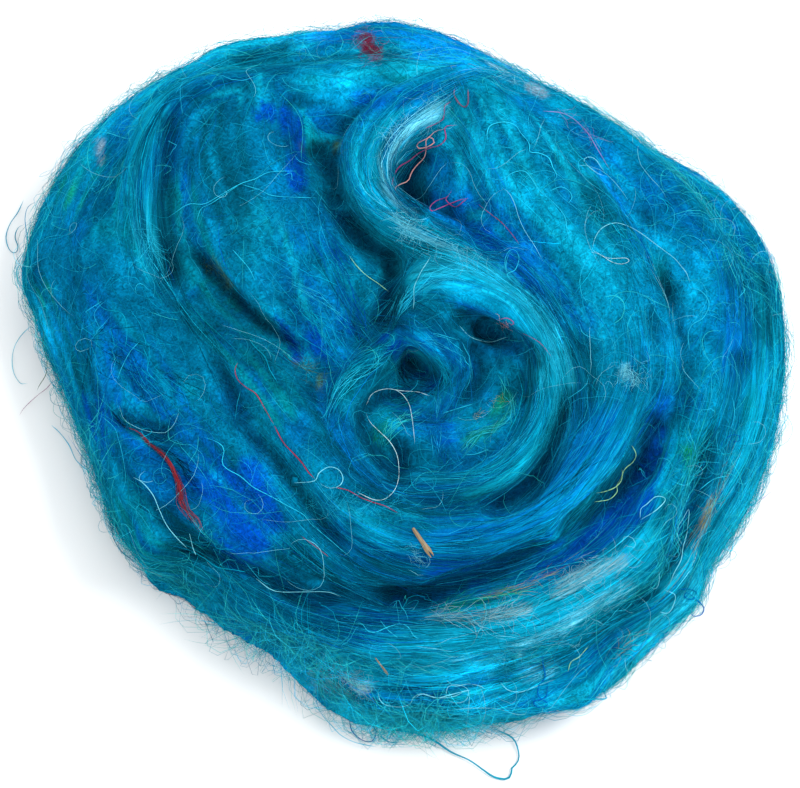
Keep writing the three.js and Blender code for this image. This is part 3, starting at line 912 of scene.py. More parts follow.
# Joins fibres into one mesh: each is a slim tube of a few sides with pointed ends
def fibreMesh(name, paths, normals, radii, colours, sides=3):
    count, places = radii.shape
    along = unit(np.gradient(paths, axis=1))
    out = unit(normals - along * dot(normals, along))
    aside = np.cross(along, out)
    angles = np.arange(sides) / sides * 2 * math.pi + math.pi / 2
    ring = out[:, 1:-1, None] * np.cos(angles)[:, None] + aside[:, 1:-1, None] * np.sin(angles)[:, None]
    ring = paths[:, 1:-1, None] + ring * radii[:, 1:-1, None, None]
    each = (places - 2) * sides + 2
    points = np.concatenate([paths[:, :1], ring.reshape(count, -1, 3), paths[:, -1:]], axis=1)
    points[:, :, 2] = np.maximum(points[:, :, 2], fibreGap)
    shades = np.concatenate(
        [colours[:, :1], np.repeat(colours[:, 1:-1], sides, axis=1), colours[:, -1:]], axis=1
    )
    k = np.arange(sides)
    after = (k + 1) % sides
    last = 1 + (places - 3) * sides
    tips = np.concatenate([
        np.column_stack([np.zeros(sides, int), 1 + after, 1 + k]),
        np.column_stack([last + k, last + after, np.full(sides, each - 1)]),
    ])
    rows = 1 + np.arange(places - 3)[:, None] * sides
    walls = np.stack([rows + k, rows + after, rows + sides + after, rows + sides + k], axis=2).reshape(-1, 4)
    base = np.arange(count)[:, None, None] * each
    tips, walls = (base + tips).reshape(-1, 3), (base + walls).reshape(-1, 4)
    mesh = bpy.data.meshes.new(name)
    mesh.vertices.add(count * each)
    mesh.vertices.foreach_set("co", points.ravel())
    mesh.loops.add(tips.size + walls.size)
    mesh.loops.foreach_set("vertex_index", np.concatenate([tips.ravel(), walls.ravel()]).astype(np.int32))
    mesh.polygons.add(len(tips) + len(walls))
    starts = np.concatenate([np.arange(len(tips)) * 3, tips.size + np.arange(len(walls)) * 4])
    mesh.polygons.foreach_set("loop_start", starts.astype(np.int32))
    mesh.update(calc_edges=True)
    setSmooth(mesh)
    setColours(mesh, shades.reshape(-1, 3))
    return mesh


# Spun silk: the lustre of single fibres, dyed by attribute, with slubs that are lighter and darker
def spunSilk():
    material, tree, silk = startMaterial("spun_silk")
    colour = addNode(tree, "Attribute", "Color", attribute="silkColour")
    place = addNode(tree, "TexCoord", "Object")
    slubs = addNode(tree, "TexNoise", "Fac", {"Vector": place, "Scale": 260.0, "Detail": 2.0})
    shades = addNode(tree, "MapRange", "Result", {"Value": slubs, **rangeInputs(0.8, 1.2, 0.3, 0.7)})
    dyed = addNode(tree, "VectorMath", "Vector", {0: colour, "Scale": shades}, operation="SCALE")
    gloss = addNode(tree, "MapRange", "Result", {"Value": slubs, **rangeInputs(0.4, 0.6)})
    setInputs(tree, silk, {
        "Base Color": dyed,
        "Roughness": gloss,
        "Specular IOR Level": 0.0,
        "Sheen Weight": 0.2,
        "Sheen Roughness": 0.4,
        "Sheen Tint": (0.02, 0.7, 1.0, 1.0),
    })
    return material


fineSilk = spunSilk()
paleDyes = ("aqua", "aqua", "cyan", "cyan", "cyan")


def taper(places, sharp):
    t = np.linspace(0, 1, places)
    return np.clip(np.minimum(t, 1 - t) * sharp, 0.05, 1)


# Makes a share of the fibres paler than the rest, though not those in the dark
def lighten(colour, share, rng):
    pale = dyesOf(paleDyes)[rng.integers(0, len(paleDyes), len(colour))]
    part = (rng.random((len(colour), 1)) < share) * rng.uniform(0.2, 0.8, (len(colour), 1))
    part = part * ease(colour.max(axis=1, keepdims=True), 0.05, 0.22)
    return colour * (1 - part) + pale * part


# Adds fibres as one piece. Single silk fibres let the light by, so only threads and the slub cast shadows.
def addFibres(name, paths, normals, radii, colours, sides=3, shadow=False):
    if colours.ndim == 2:
        colours = np.repeat(colours[:, None], radii.shape[1], axis=1)
    mesh = fibreMesh(name, paths, normals, radii, colours, sides)
    addPiece(name, mesh, fineSilk).visible_shadow = shadow


# Laid fibres: along the turns in a lower and an upper layer, and combed strands where the turns are sleek.
# stray is the lean off the lay in degrees, where combed and where felted.
laidFibres = {
    "lower": {"seed": 3, "count": 3000, "places": 7, "length": (22, 52), "radius": (0.045, 0.09),
              "lift": (0.0, 0.3), "stray": (7, 35), "felted": 0.4, "depth": 0.35, "light": 0.06},
    "upper": {"seed": 4, "count": 4600, "places": 7, "length": (10, 40), "radius": (0.024, 0.047),
              "lift": (0.1, 0.8), "stray": (9, 65), "felted": 0.45, "depth": 0.45, "light": 0.3},
    "combed": {"seed": 5, "count": 3000, "places": 8, "length": (26, 60), "radius": (0.03, 0.06),
               "lift": (0.1, 0.5), "stray": (4, 6), "felted": 0.0, "depth": 0.6, "light": 0.3},
}
# What the layers share: sunk and ripple are in mm, and the rest are shares and shifts of tone
laidShape = {
    "follow": 1.0,
    "feltedLength": 0.6,
    "feltedDepth": 0.45,
    "sunk": 0.05,
    "ripple": 0.12,
    "lean": 0.22,
    "brightest": 1.6,
    "taper": 3,
}


def makeLaidFibres(layer):
    look = laidFibres[layer]
    rng = np.random.default_rng(look["seed"])
    count, places = look["count"], look["places"]
    felted = look["felted"]
    starts, corner = scatter(count, rng, lambda points, _: felted + (1 - felted) * combedAt(points))
    length = rng.uniform(*look["length"], count) * mm
    sleek = combedAt(starts)[:, None]
    stray = np.radians(look["stray"][0] * sleek + look["stray"][1] * (1 - sleek))
    t = np.linspace(0, 1, places)
    bends = stray * (rng.standard_normal((count, 1)) * (1 - t) + rng.standard_normal((count, 1)) * t)
    short = laidShape["feltedLength"]
    length = length * (short + (1 - short) * sleek[:, 0])
    headings = skin.run[corner] * rng.choice((-1, 1), (count, 1))
    paths, normals = walk(starts, headings, length / (places - 1), laidShape["follow"], bends)
    lift = rng.uniform(*look["lift"], (count, 1)) * np.sin(math.pi * t) ** 0.5
    lift = lift - laidShape["sunk"] + laidShape["ripple"] * rng.standard_normal((count, places))
    paths = paths + normals * (lift * mm)[:, :, None]
    radii = rng.uniform(*look["radius"], (count, 1)) * mm * taper(places, laidShape["taper"])
    lay = skin.lay[findOnSkin(paths[:, places // 2])[2]]
    pick, lean = rng.random(count), laidShape["lean"] * rng.standard_normal(count)
    plain = laidShape["feltedDepth"]
    shade = look["depth"] * (plain + (1 - plain) * sleek)
    shade = shade * np.minimum(rng.standard_normal((count, 1)), laidShape["brightest"])
    ends = []
    for k in (0, places // 2, places - 1):
        near = findOnSkin(paths[:, k])[2]
        end = fibreColour(paths[:, k], lay, skin.openness[near], skin.seen[near], pick, lean)
        ends.append(lighten(end * np.exp(shade), look["light"], np.random.default_rng(look["seed"] + 100)))
    hats = np.maximum(1 - np.abs(2 * t[:, None] - (0, 1, 2)), 0)
    addFibres("laid_fibres_" + layer, paths, normals, radii, np.einsum("pk,kfc->fpc", hats, np.array(ends)))


for layer in laidFibres:
    makeLaidFibres(layer)


# Fuzz: a nap of short fine fibres that stand off the skin, and a ragged haze of them round the rim
fuzz = {
    "nap": {"seed": 8, "count": 5000, "places": 6, "length": (4, 16), "radius": (0.018, 0.036),
            "lift": (0.2, 1.2), "stray": 60, "follow": 0.05, "light": 0.25},
    "haze": {"seed": 9, "count": 7000, "places": 6, "length": (6, 18), "radius": (0.026, 0.056),
             "lift": (0.3, 3.5), "stray": 50, "follow": 0.15, "light": 0.5},
}
hazeTint = {"dyes": ("aqua", "seafoam", "seafoam", "cyan"), "share": 1.2, "strength": (0.5, 1.3)}
hazeFront = 6.5  # how much further the haze stands off in front, in mm
hazePlace = {
    "front": (50 * mm, 68 * mm),  # towards the viewer
    "frontEnd": (10 * mm, 35 * mm),  # to the right
    "frontLeft": (15 * mm, 45 * mm),  # to the left, where it stands off furthest
    "radius": (66 * mm, 76 * mm),
    "height": (1 * mm, 3 * mm),
    "top": (9 * mm, 20 * mm),
    "outward": (0.1, 0.5),
    "outline": 0.3,
    "clumps": 13 * mm,
    "thinned": 0.55,  # at the far right
}


def inFront(points):
    return ease(-points[:, 1], *hazePlace["front"]) * (1 - ease(points[:, 0], *hazePlace["frontEnd"]))


def edgeOn(normals, width):
    return np.exp(-((normals @ toEye / width) ** 2))


def offCombed(points, _):
    return 1.2 - combedAt(points)


# Where the haze stands: outside the rim, more on its outline and in front, less at the far right
def onRim(points, normals):
    x, y, z = points.T
    rim = ease(np.hypot(x, y), *hazePlace["radius"]) * ease(z, *hazePlace["height"])
    rim = rim * ease((normals[:, :2] * unit(points[:, :2])).sum(axis=1), *hazePlace["outward"])
    rim = rim * (1 - hazePlace["thinned"] * ease(y, 10 * mm, 50 * mm) * ease(x, -30 * mm, 30 * mm))
    low = 1 - ease(z, *hazePlace["top"])
    clumps = 0.25 + ease(noiseAt(*(points / hazePlace["clumps"]).T), -0.2, 0.4)
    outline = edgeOn(normals, hazePlace["outline"])
    return rim * clumps * (0.2 * low + outline * (1.0 + 3.4 * inFront(points)))


def makeFuzz(kind):
    look = fuzz[kind]
    rng = np.random.default_rng(look["seed"])
    count, places = look["count"], look["places"]
    starts, corner = scatter(count, rng, onRim if kind == "haze" else offCombed)
    length = rng.uniform(*look["length"], count) * mm
    stray = np.radians(look["stray"])
    bends = stray * rng.standard_normal((count, 1)) / 3
    bends = bends + stray * rng.standard_normal((count, places)) / 4
    bends[:, 0] += stray * rng.standard_normal(count)
    headings = skin.run[corner] * rng.choice((-1, 1), (count, 1))
    paths, normals = walk(starts, headings, length / (places - 1), look["follow"], bends)
    t = np.linspace(0, 1, places)
    arch = np.where(rng.random((count, 1)) < 0.5, np.sin(math.pi * t) ** 0.7, t)
    low, high = look["lift"]
    far = inFront(starts) * (1 + ease(-starts[:, 0], *hazePlace["frontLeft"]))
    high = high + hazeFront * far[:, None] * (kind == "haze")
    lift = low + (high - low) * rng.random((count, 1)) ** 1.4
    paths = paths + normals * (lift * arch * mm)[:, :, None]
    paths[:, 1:-1] = (paths[:, :-2] + 2 * paths[:, 1:-1] + paths[:, 2:]) / 4
    radii = rng.uniform(*look["radius"], (count, 1)) * mm * taper(places, 4)
    middle = paths[:, places // 2]
    near = findOnSkin(middle)[2]
    openness = np.ones(count) if kind == "haze" else skin.openness[near]
    lean = 0.2 * rng.standard_normal(count)
    colour = fibreColour(middle, skin.lay[near], openness, skin.seen[near], rng.random(count), lean)
    colour = lighten(colour * np.exp(0.4 * rng.standard_normal((count, 1))), look["light"], rng)
    if kind == "haze":
        tint = np.minimum(hazeTint["share"] * rng.random((count, 1)) * 2, 1)
        tinted = dyesOf(hazeTint["dyes"])[rng.integers(0, len(hazeTint["dyes"]), count)]
        colour = (colour * (1 - tint) + tinted * tint) * rng.uniform(*hazeTint["strength"], (count, 1))
    addFibres(kind, paths, normals, radii, colour)


for kind in fuzz:
    makeFuzz(kind)


# A thread drawn through pixels of the photograph: it lies on the skin, bridges hollows, and where it leaves
# the rim it keeps its height, or lies on the table if it is long enough to fall
def throughPixels(path, places, lift, onTable=False):
    drawn = smoothRows(path, 5)
    rays = raysThrough(drawn)
    met = [skin.tree.ray_cast(eye, ray)[3] for ray in rays.tolist()]
    hit = np.array([distance is not None for distance in met])
    reach = np.array([distance or 0.0 for distance in met])
    height = np.full(len(rays), threads["tableGap"])
    if hit.any() and not onTable:
        height = np.interp(np.arange(len(rays)), np.flatnonzero(hit), (eye + rays * reach[:, None])[hit, 2])
    reach = np.where(hit, reach, (height - eye[2]) / rays[:, 2])
    taut = reach
    for _ in range(threads["taut"]):
        even = np.concatenate([taut[:1], (taut[:-2] + taut[2:]) / 2, taut[-1:]])
        taut = np.where(hit, np.minimum(reach, even), even)
    points = eye + rays * (taut - lift)[:, None]
    points[:, 2] = np.maximum(points[:, 2], threads["tableGap"])
    along = np.concatenate([[0], np.cumsum(np.linalg.norm(np.diff(points, axis=0), axis=1))])
    steps = np.linspace(0, along[-1], places)
    return np.column_stack([np.interp(steps, along, axis) for axis in points.T])


# Stray threads, one by one: dye, radius in mm and path in the photograph's pixels
threads = {
    "seed": 21,
    "places": 44,
    "fineness": 0.62,  # of the radius in each row
    "lift": 0.35 * mm,
    "taut": 14,
    "tableGap": 0.35 * mm,
    "drawn": [
        ("salmon", 0.2, [(446, 129), (436, 131), (428, 138), (418, 143), (417, 148), (424, 148),
            (433, 144), (434, 140), (430, 137), (426, 140), (426, 150), (424, 158), (419, 163),
            (413, 170), (410, 176), (408, 181), (401, 184), (396, 187), (395, 191)]),
        ("pink", 0.2, [(458, 125), (445, 127), (446, 138), (440, 145), (430, 148), (419, 153),
            (409, 161), (399, 167), (394, 176), (391, 189)]),
        ("pink", 0.14, [(452, 101), (445, 106), (444, 115), (441, 121), (424, 129)]),
        ("plum", 0.3, [(455, 88), (454, 94), (458, 102), (464, 107), (468, 103), (468, 89)]),
        ("pink", 0.2, [(469, 198), (460, 200), (450, 204), (440, 208), (432, 211), (430, 207),
            (436, 201), (445, 198), (449, 195), (452, 189)]),
        ("pink", 0.17, [(449, 195), (446, 200), (455, 207), (464, 201), (468, 198)]),
        ("crimson", 0.10, [(478, 204), (488, 212), (501, 222), (511, 233), (519, 244)]),
        ("pink", 0.12, [(499, 320), (507, 318), (514, 323), (508, 326)]),
        ("pink", 0.08, [(520, 332), (539, 342), (552, 357)]),
        ("mauve", 0.13, [(542, 111), (562, 113), (575, 120), (588, 133), (595, 145), (610, 170)]),
        ("cyan", 0.13, [(488, 143), (487, 133), (491, 125), (504, 122), (515, 125), (521, 133),
            (529, 143), (530, 152), (539, 153), (549, 158), (553, 168), (557, 176), (552, 182)]),
        ("cyan", 0.11, [(484, 176), (501, 180), (512, 173), (524, 171), (532, 179), (539, 190),
            (555, 204), (565, 217), (567, 230), (574, 247)]),
        ("cyan", 0.10, [(506, 274), (505, 260), (509, 251), (515, 250), (519, 258), (515, 270),
            (507, 274), (514, 283), (526, 291), (537, 301), (547, 311)]),
        ("pale", 0.12, [(690, 284), (687, 274), (681, 266), (674, 258), (658, 246), (639, 232),
            (625, 225), (614, 223), (602, 228), (595, 238), (592, 251)]),
        ("white", 0.0858, [(592, 250), (608, 258), (625, 258), (629, 261), (622, 264), (612, 262),
            (599, 254), (590, 252)]),
        ("cyan", 0.12, [(441, 414), (456, 409), (473, 404)]),
        ("aqua", 0.12, [(448, 422), (459, 419), (471, 417)]),
        ("pale", 0.12, [(431, 255), (428, 261), (422, 270), (418, 278), (414, 288), (414, 301),
            (413, 310)]),
        ("pale", 0.12, [(459, 325), (468, 335), (478, 340), (491, 342), (504, 338), (509, 337)]),
        ("aqua", 0.12, [(299, 110), (302, 115), (310, 117), (328, 115), (343, 115), (358, 119),
            (373, 120), (384, 117)]),
        ("aqua", 0.11, [(279, 99), (287, 91), (302, 89)]),
        ("cyan", 0.12, [(166, 219), (176, 212), (189, 204), (204, 204), (219, 196), (240, 184),
            (255, 179), (270, 172), (298, 171)]),
        ("cyan", 0.11, [(550, 191), (560, 187), (568, 190), (572, 197), (568, 204)]),
        ("pale", 0.11, [(605, 176), (597, 173), (588, 166), (584, 160), (589, 157), (596, 160),
            (604, 172)]),
        ("aqua", 0.11, [(634, 188), (642, 200), (652, 195), (662, 199), (668, 208), (664, 216)]),
        ("cyan", 0.12, [(686, 288), (697, 289), (706, 296), (709, 306), (703, 318), (692, 325),
            (688, 336), (690, 352)]),
        ("cyan", 0.11, [(513, 252), (508, 256), (506, 268), (510, 279), (522, 289), (534, 297),
            (546, 309)]),
        ("seafoam", 0.11, [(604, 297), (616, 296), (624, 304), (622, 317), (612, 325)]),
        ("cyan", 0.11, [(579, 323), (583, 333), (593, 338), (605, 341)]),
        ("aqua", 0.11, [(585, 205), (592, 212), (600, 222), (612, 224), (618, 232), (628, 240)]),
        ("cyan", 0.10, [(196, 224), (201, 209), (212, 203), (240, 184)]),
        ("cyan", 0.10, [(240, 184), (260, 190), (275, 196), (318, 198)]),
        ("cyan", 0.09, [(283, 176), (291, 173), (292, 181)]),
        ("cyan", 0.10, [(232, 249), (242, 260), (250, 270), (255, 281)]),
        ("aqua", 0.10, [(288, 306), (296, 319), (297, 332), (309, 342), (321, 349), (329, 357)]),
        ("lime", 0.09, [(349, 255), (356, 265), (366, 275), (379, 284), (389, 292)]),
        ("aqua", 0.11, [(248, 338), (255, 347), (265, 357), (270, 370), (278, 383)]),
        ("aqua", 0.12, [(97, 291), (99, 304), (107, 310), (120, 312), (126, 321), (127, 334), (125, 349)]),
        ("cyan", 0.11, [(139, 342), (130, 352), (122, 367), (117, 380)]),
        ("aqua", 0.10, [(143, 347), (148, 360), (148, 372), (158, 383)]),
        ("aqua", 0.11, [(127, 163), (130, 158), (135, 159), (129, 168), (133, 184), (134, 201),
            (127, 217), (124, 235), (127, 240)]),
        ("white", 0.109, [(366, 406), (372, 394), (385, 389), (398, 391), (408, 402), (412, 418),
            (415, 445)]),
        ("white", 0.078, [(390, 389), (404, 391), (418, 392), (430, 396)]),
        ("white", 0.109, [(366, 413), (370, 422), (380, 432), (390, 442), (397, 455), (399, 470),
            (398, 481), (394, 491), (385, 499), (375, 500), (365, 496), (355, 491)]),
        ("pale", 0.13, [(293, 483), (314, 481), (319, 473), (329, 467), (339, 470), (343, 479),
            (339, 486), (329, 488), (319, 483)]),
        ("cyan", 0.14, [(469, 437), (482, 430), (499, 427), (510, 417), (511, 404), (502, 394)]),
        ("cyan", 0.12, [(466, 449), (468, 442), (479, 435), (498, 431)]),
        ("cyan", 0.12, [(465, 455), (476, 454), (489, 449)]),
        ("aqua", 0.12, [(456, 473), (478, 474), (500, 465), (520, 448), (530, 430)]),
        ("aqua", 0.11, [(410, 470), (413, 486), (423, 491), (433, 488), (436, 478), (428, 469),
            (418, 467), (411, 470)]),
        ("crimson", 0.16, [(238, 362), (235, 370), (238, 380), (247, 388), (256, 394), (265, 409),
            (274, 425)]),
        ("crimson", 0.22, [(274, 425), (283, 442), (293, 453), (302, 463), (309, 473), (315, 479)]),
        ("crimson", 0.17, [(332, 487), (347, 490), (360, 497), (372, 502), (385, 506), (398, 513)]),
        ("crimson", 0.09, [(301, 536), (316, 547), (329, 557)]),
        ("pale", 0.13, [(133, 477), (143, 483), (153, 495), (159, 509), (166, 524), (176, 537),
            (189, 550)]),
        ("aqua", 0.12, [(189, 550), (204, 558), (217, 567), (235, 570), (250, 573)]),
        ("pale", 0.13, [(250, 573), (258, 580), (270, 589), (281, 592), (301, 592), (327, 592),
            (342, 597)]),
        ("aqua", 0.09, [(134, 478), (139, 491), (138, 506), (133, 516), (133, 529)]),
        ("cyan", 0.14, [(201, 436), (217, 442), (224, 449), (222, 462), (227, 469), (240, 476),
            (253, 487), (270, 496), (288, 506), (304, 515), (311, 524), (329, 539), (344, 552),
            (357, 562)]),
        ("turquoise", 0.18, [(112, 522), (113, 537), (122, 552), (135, 562), (143, 570)]),
        ("cyan", 0.15, [(51, 425), (59, 432), (69, 445), (76, 460), (87, 470), (96, 478)]),
        ("pink", 0.08, [(19, 416), (25, 407), (38, 395), (47, 388), (55, 378)]),
        ("aqua", 0.17, [(24, 199), (18, 212), (10, 224), (6, 237), (9, 249), (15, 253), (18, 247),
            (15, 237), (18, 228), (25, 224)]),
        ("turquoise", 0.15, [(37, 201), (28, 207), (25, 219), (27, 235), (28, 250), (31, 268),
            (38, 278), (46, 283)]),
        ("pale", 0.13, [(25, 250), (18, 265), (17, 278), (23, 288), (25, 297)]),
        ("pale", 0.13, [(33, 324), (20, 337), (13, 352), (13, 370), (20, 383), (28, 383)]),
        ("olive", 0.12, [(44, 328), (43, 345), (47, 360), (46, 374), (39, 386), (37, 391)]),
        ("navy", 0.09, [(187, 601), (194, 608), (204, 612), (214, 611), (222, 611)]),
        ("turquoise", 0.12, [(204, 613), (209, 621), (217, 622), (219, 617), (212, 613)]),
        ("turquoise", 0.09, [(204, 618), (208, 629), (214, 643)]),
        ("cyan", 0.12, [(314, 695), (321, 713), (332, 726), (342, 736), (357, 743), (377, 747)]),
        ("cerulean", 0.2, [(349, 718), (352, 731), (362, 740), (372, 741), (376, 731), (367, 720)]),
        ("turquoise", 0.16, [(383, 726), (381, 736), (390, 742), (399, 743)]),
        ("cyan", 0.11, [(306, 680), (319, 692), (329, 699), (339, 703)]),
        ("pale", 0.15, [(415, 698), (423, 694), (436, 698), (446, 696), (461, 692), (471, 690)]),
        ("pale", 0.15, [(431, 713), (451, 710), (476, 708), (497, 709), (515, 714), (525, 714),
            (527, 708)]),
        ("pale", 0.11, [(446, 698), (448, 687), (459, 685), (468, 690), (466, 700), (456, 703),
            (447, 700)]),
        ("pale", 0.11, [(470, 692), (468, 713), (465, 733)]),
        ("cerulean", 0.3, [(398, 720), (408, 725), (420, 722), (430, 726), (437, 731)]),
        ("pale", 0.14, [(378, 691), (380, 700), (386, 705), (400, 707), (410, 704), (413, 698),
            (420, 694), (430, 696), (440, 698), (455, 696), (466, 690)]),
        ("cyan", 0.13, [(355, 623), (362, 624), (368, 631), (376, 632), (388, 627), (400, 624),
            (408, 627), (414, 636), (422, 640)]),
        ("cyan", 0.12, [(380, 620), (388, 630), (398, 638)]),
        ("pale", 0.12, [(500, 682), (508, 690), (520, 692), (532, 688), (545, 683), (556, 679)]),
        ("pale", 0.11, [(446, 680), (455, 686), (468, 684), (480, 686), (486, 690)]),
        ("cerulean", 0.22, [(675, 590), (688, 589), (696, 592), (697, 598), (688, 599), (684, 595),
            (688, 593), (698, 601), (704, 608), (701, 615), (693, 616), (691, 611), (698, 604)]),
        ("cerulean", 0.10, [(704, 578), (705, 588), (701, 598)]),
        ("cerulean", 0.28, [(542, 653), (543, 664), (545, 677), (539, 685), (538, 695), (543, 700),
            (548, 704), (543, 707), (535, 706), (534, 701), (539, 700), (545, 698), (547, 692),
            (547, 680)]),
        ("aqua", 0.24, [(576, 699), (604, 699), (605, 695), (604, 689), (596, 687)]),
        ("lime", 0.14, [(631, 444), (636, 454), (633, 462), (624, 470), (621, 481), (614, 488),
            (603, 492), (596, 493)]),
        ("lime", 0.12, [(622, 468), (622, 476), (617, 485), (617, 492), (610, 499), (601, 501),
            (594, 502)]),
        ("aqua", 0.14, [(696, 437), (701, 445), (711, 451), (724, 454), (737, 451), (748, 446),
            (742, 445), (735, 446)]),
        ("cobalt", 0.12, [(721, 450), (723, 441), (732, 435), (739, 436), (739, 441), (729, 442)]),
        ("pale", 0.14, [(640, 520), (655, 511), (665, 501), (663, 497), (655, 497), (647, 504),
            (641, 509), (640, 519)]),
        ("pale", 0.13, [(684, 547), (678, 537), (678, 527), (683, 519), (689, 509), (688, 524),
            (686, 537), (683, 547), (681, 560), (674, 573), (670, 583), (664, 590)]),
        ("pale", 0.12, [(664, 590), (675, 595), (673, 606), (668, 613), (659, 612)]),
        ("cyan", 0.13, [(527, 578), (535, 573), (553, 567), (579, 562), (601, 557), (624, 539),
            (645, 522)]),
        ("aqua", 0.12, [(545, 668), (553, 664), (561, 668), (561, 675), (553, 678), (547, 676)]),
        ("lime", 0.11, [(568, 672), (571, 662), (579, 657), (586, 649), (589, 645)]),
        ("mauve", 0.08, [(753, 509), (760, 501), (772, 491)]),
        ("mauve", 0.10, [(756, 491), (763, 482), (765, 480)]),
        ("cyan", 0.12, [(698, 491), (714, 479), (729, 476)]),
    ],
    "onTable": [
        ("aqua", 0.34, [(372, 727), (400, 731), (415, 733), (433, 740), (451, 752), (469, 760),
            (482, 769), (494, 777), (507, 779), (511, 774), (512, 768), (517, 763), (519, 756),
            (516, 743), (510, 736), (499, 731), (490, 725)]),
    ],
}


def makeThreads():
    places = threads["places"]
    t = np.linspace(0, 1, places)
    paths, radii, colours = [], [], []
    rng = np.random.default_rng(threads["seed"])
    rows = [(row, False) for row in threads["drawn"]] + [(row, True) for row in threads["onTable"]]
    for (dye, radius, path), onTable in rows:
        paths.append(throughPixels(path, places, threads["lift"], onTable))
        slubs = 1 + 0.2 * np.sin(t * rng.uniform(8, 20) + rng.uniform(0, 6))
        radii.append(threads["fineness"] * radius * mm * taper(places, 10) * slubs)
        colours.append(np.array(dyes[dye]) * np.linspace(*rng.uniform(0.75, 1.2, 2), places)[:, None])
    paths = np.array(paths)
    normals = np.broadcast_to(toEye, paths.shape)
    addFibres("stray_threads", paths, normals, np.array(radii), np.array(colours), sides=4, shadow=True)


makeThreads()


# Curls: loose thread ends that loop over the skin, more of them on the right, and that stand off the rim
curls = {
    "curls": {"seed": 12, "count": 800, "places": 13, "length": (8, 32), "radius": (0.022, 0.05),
              "curl": 12, "lift": (0.3, 1.5), "light": (0.6, 1.1)},
    "rim_curls": {"seed": 13, "count": 420, "places": 12, "length": (5, 15), "radius": (0.03, 0.06),
                  "curl": 18, "lift": (1.0, 4.5), "light": (0.5, 1.1)},
}
curlDyes = ("cyan", "cyan", "seafoam", "aqua", "aqua", "pale")


def offRim(points, normals):
    x, y, z = points.T
    return ease(np.hypot(x, y), 62 * mm, 72 * mm) * ease(z, 2 * mm, 6 * mm) * (0.25 + edgeOn(normals, 0.4))


def offTurns(points, _):
    return (0.4 + ease(points[:, 0], -30 * mm, 60 * mm)) * (1.03 - combedAt(points))


def makeCurls(kind):
    look = curls[kind]
    rng = np.random.default_rng(look["seed"])
    count, places = look["count"], look["places"]
    starts, corner = scatter(count, rng, offRim if kind == "rim_curls" else offTurns)
    length = rng.uniform(*look["length"], count) * mm
    curl = np.radians(look["curl"])
    drift = rng.standard_normal((count, places)).cumsum(1) / math.sqrt(places)
    bends = curl * (0.5 * rng.standard_normal((count, 1)) + 1.8 * drift)
    headings = unit(skin.run[corner] + 0.8 * rng.standard_normal((count, 3)))
    paths, normals = walk(starts, headings, length / (places - 1), 0.0, bends)
    t = np.linspace(0, 1, places)
    waves = np.sin(math.pi * t * rng.uniform(1, 2, (count, 1)))
    lift = rng.uniform(*look["lift"], (count, 1)) * (0.3 + 0.7 * waves)
    paths = paths + normals * (lift * mm)[:, :, None]
    radii = rng.uniform(*look["radius"], (count, 1)) * mm * taper(places, 6)
    colours = dyesOf(curlDyes)[rng.integers(0, len(curlDyes), count)]
    addFibres(kind, paths, normals, radii, colours * rng.uniform(*look["light"], (count, 1)))


for kind in curls:
    makeCurls(kind)


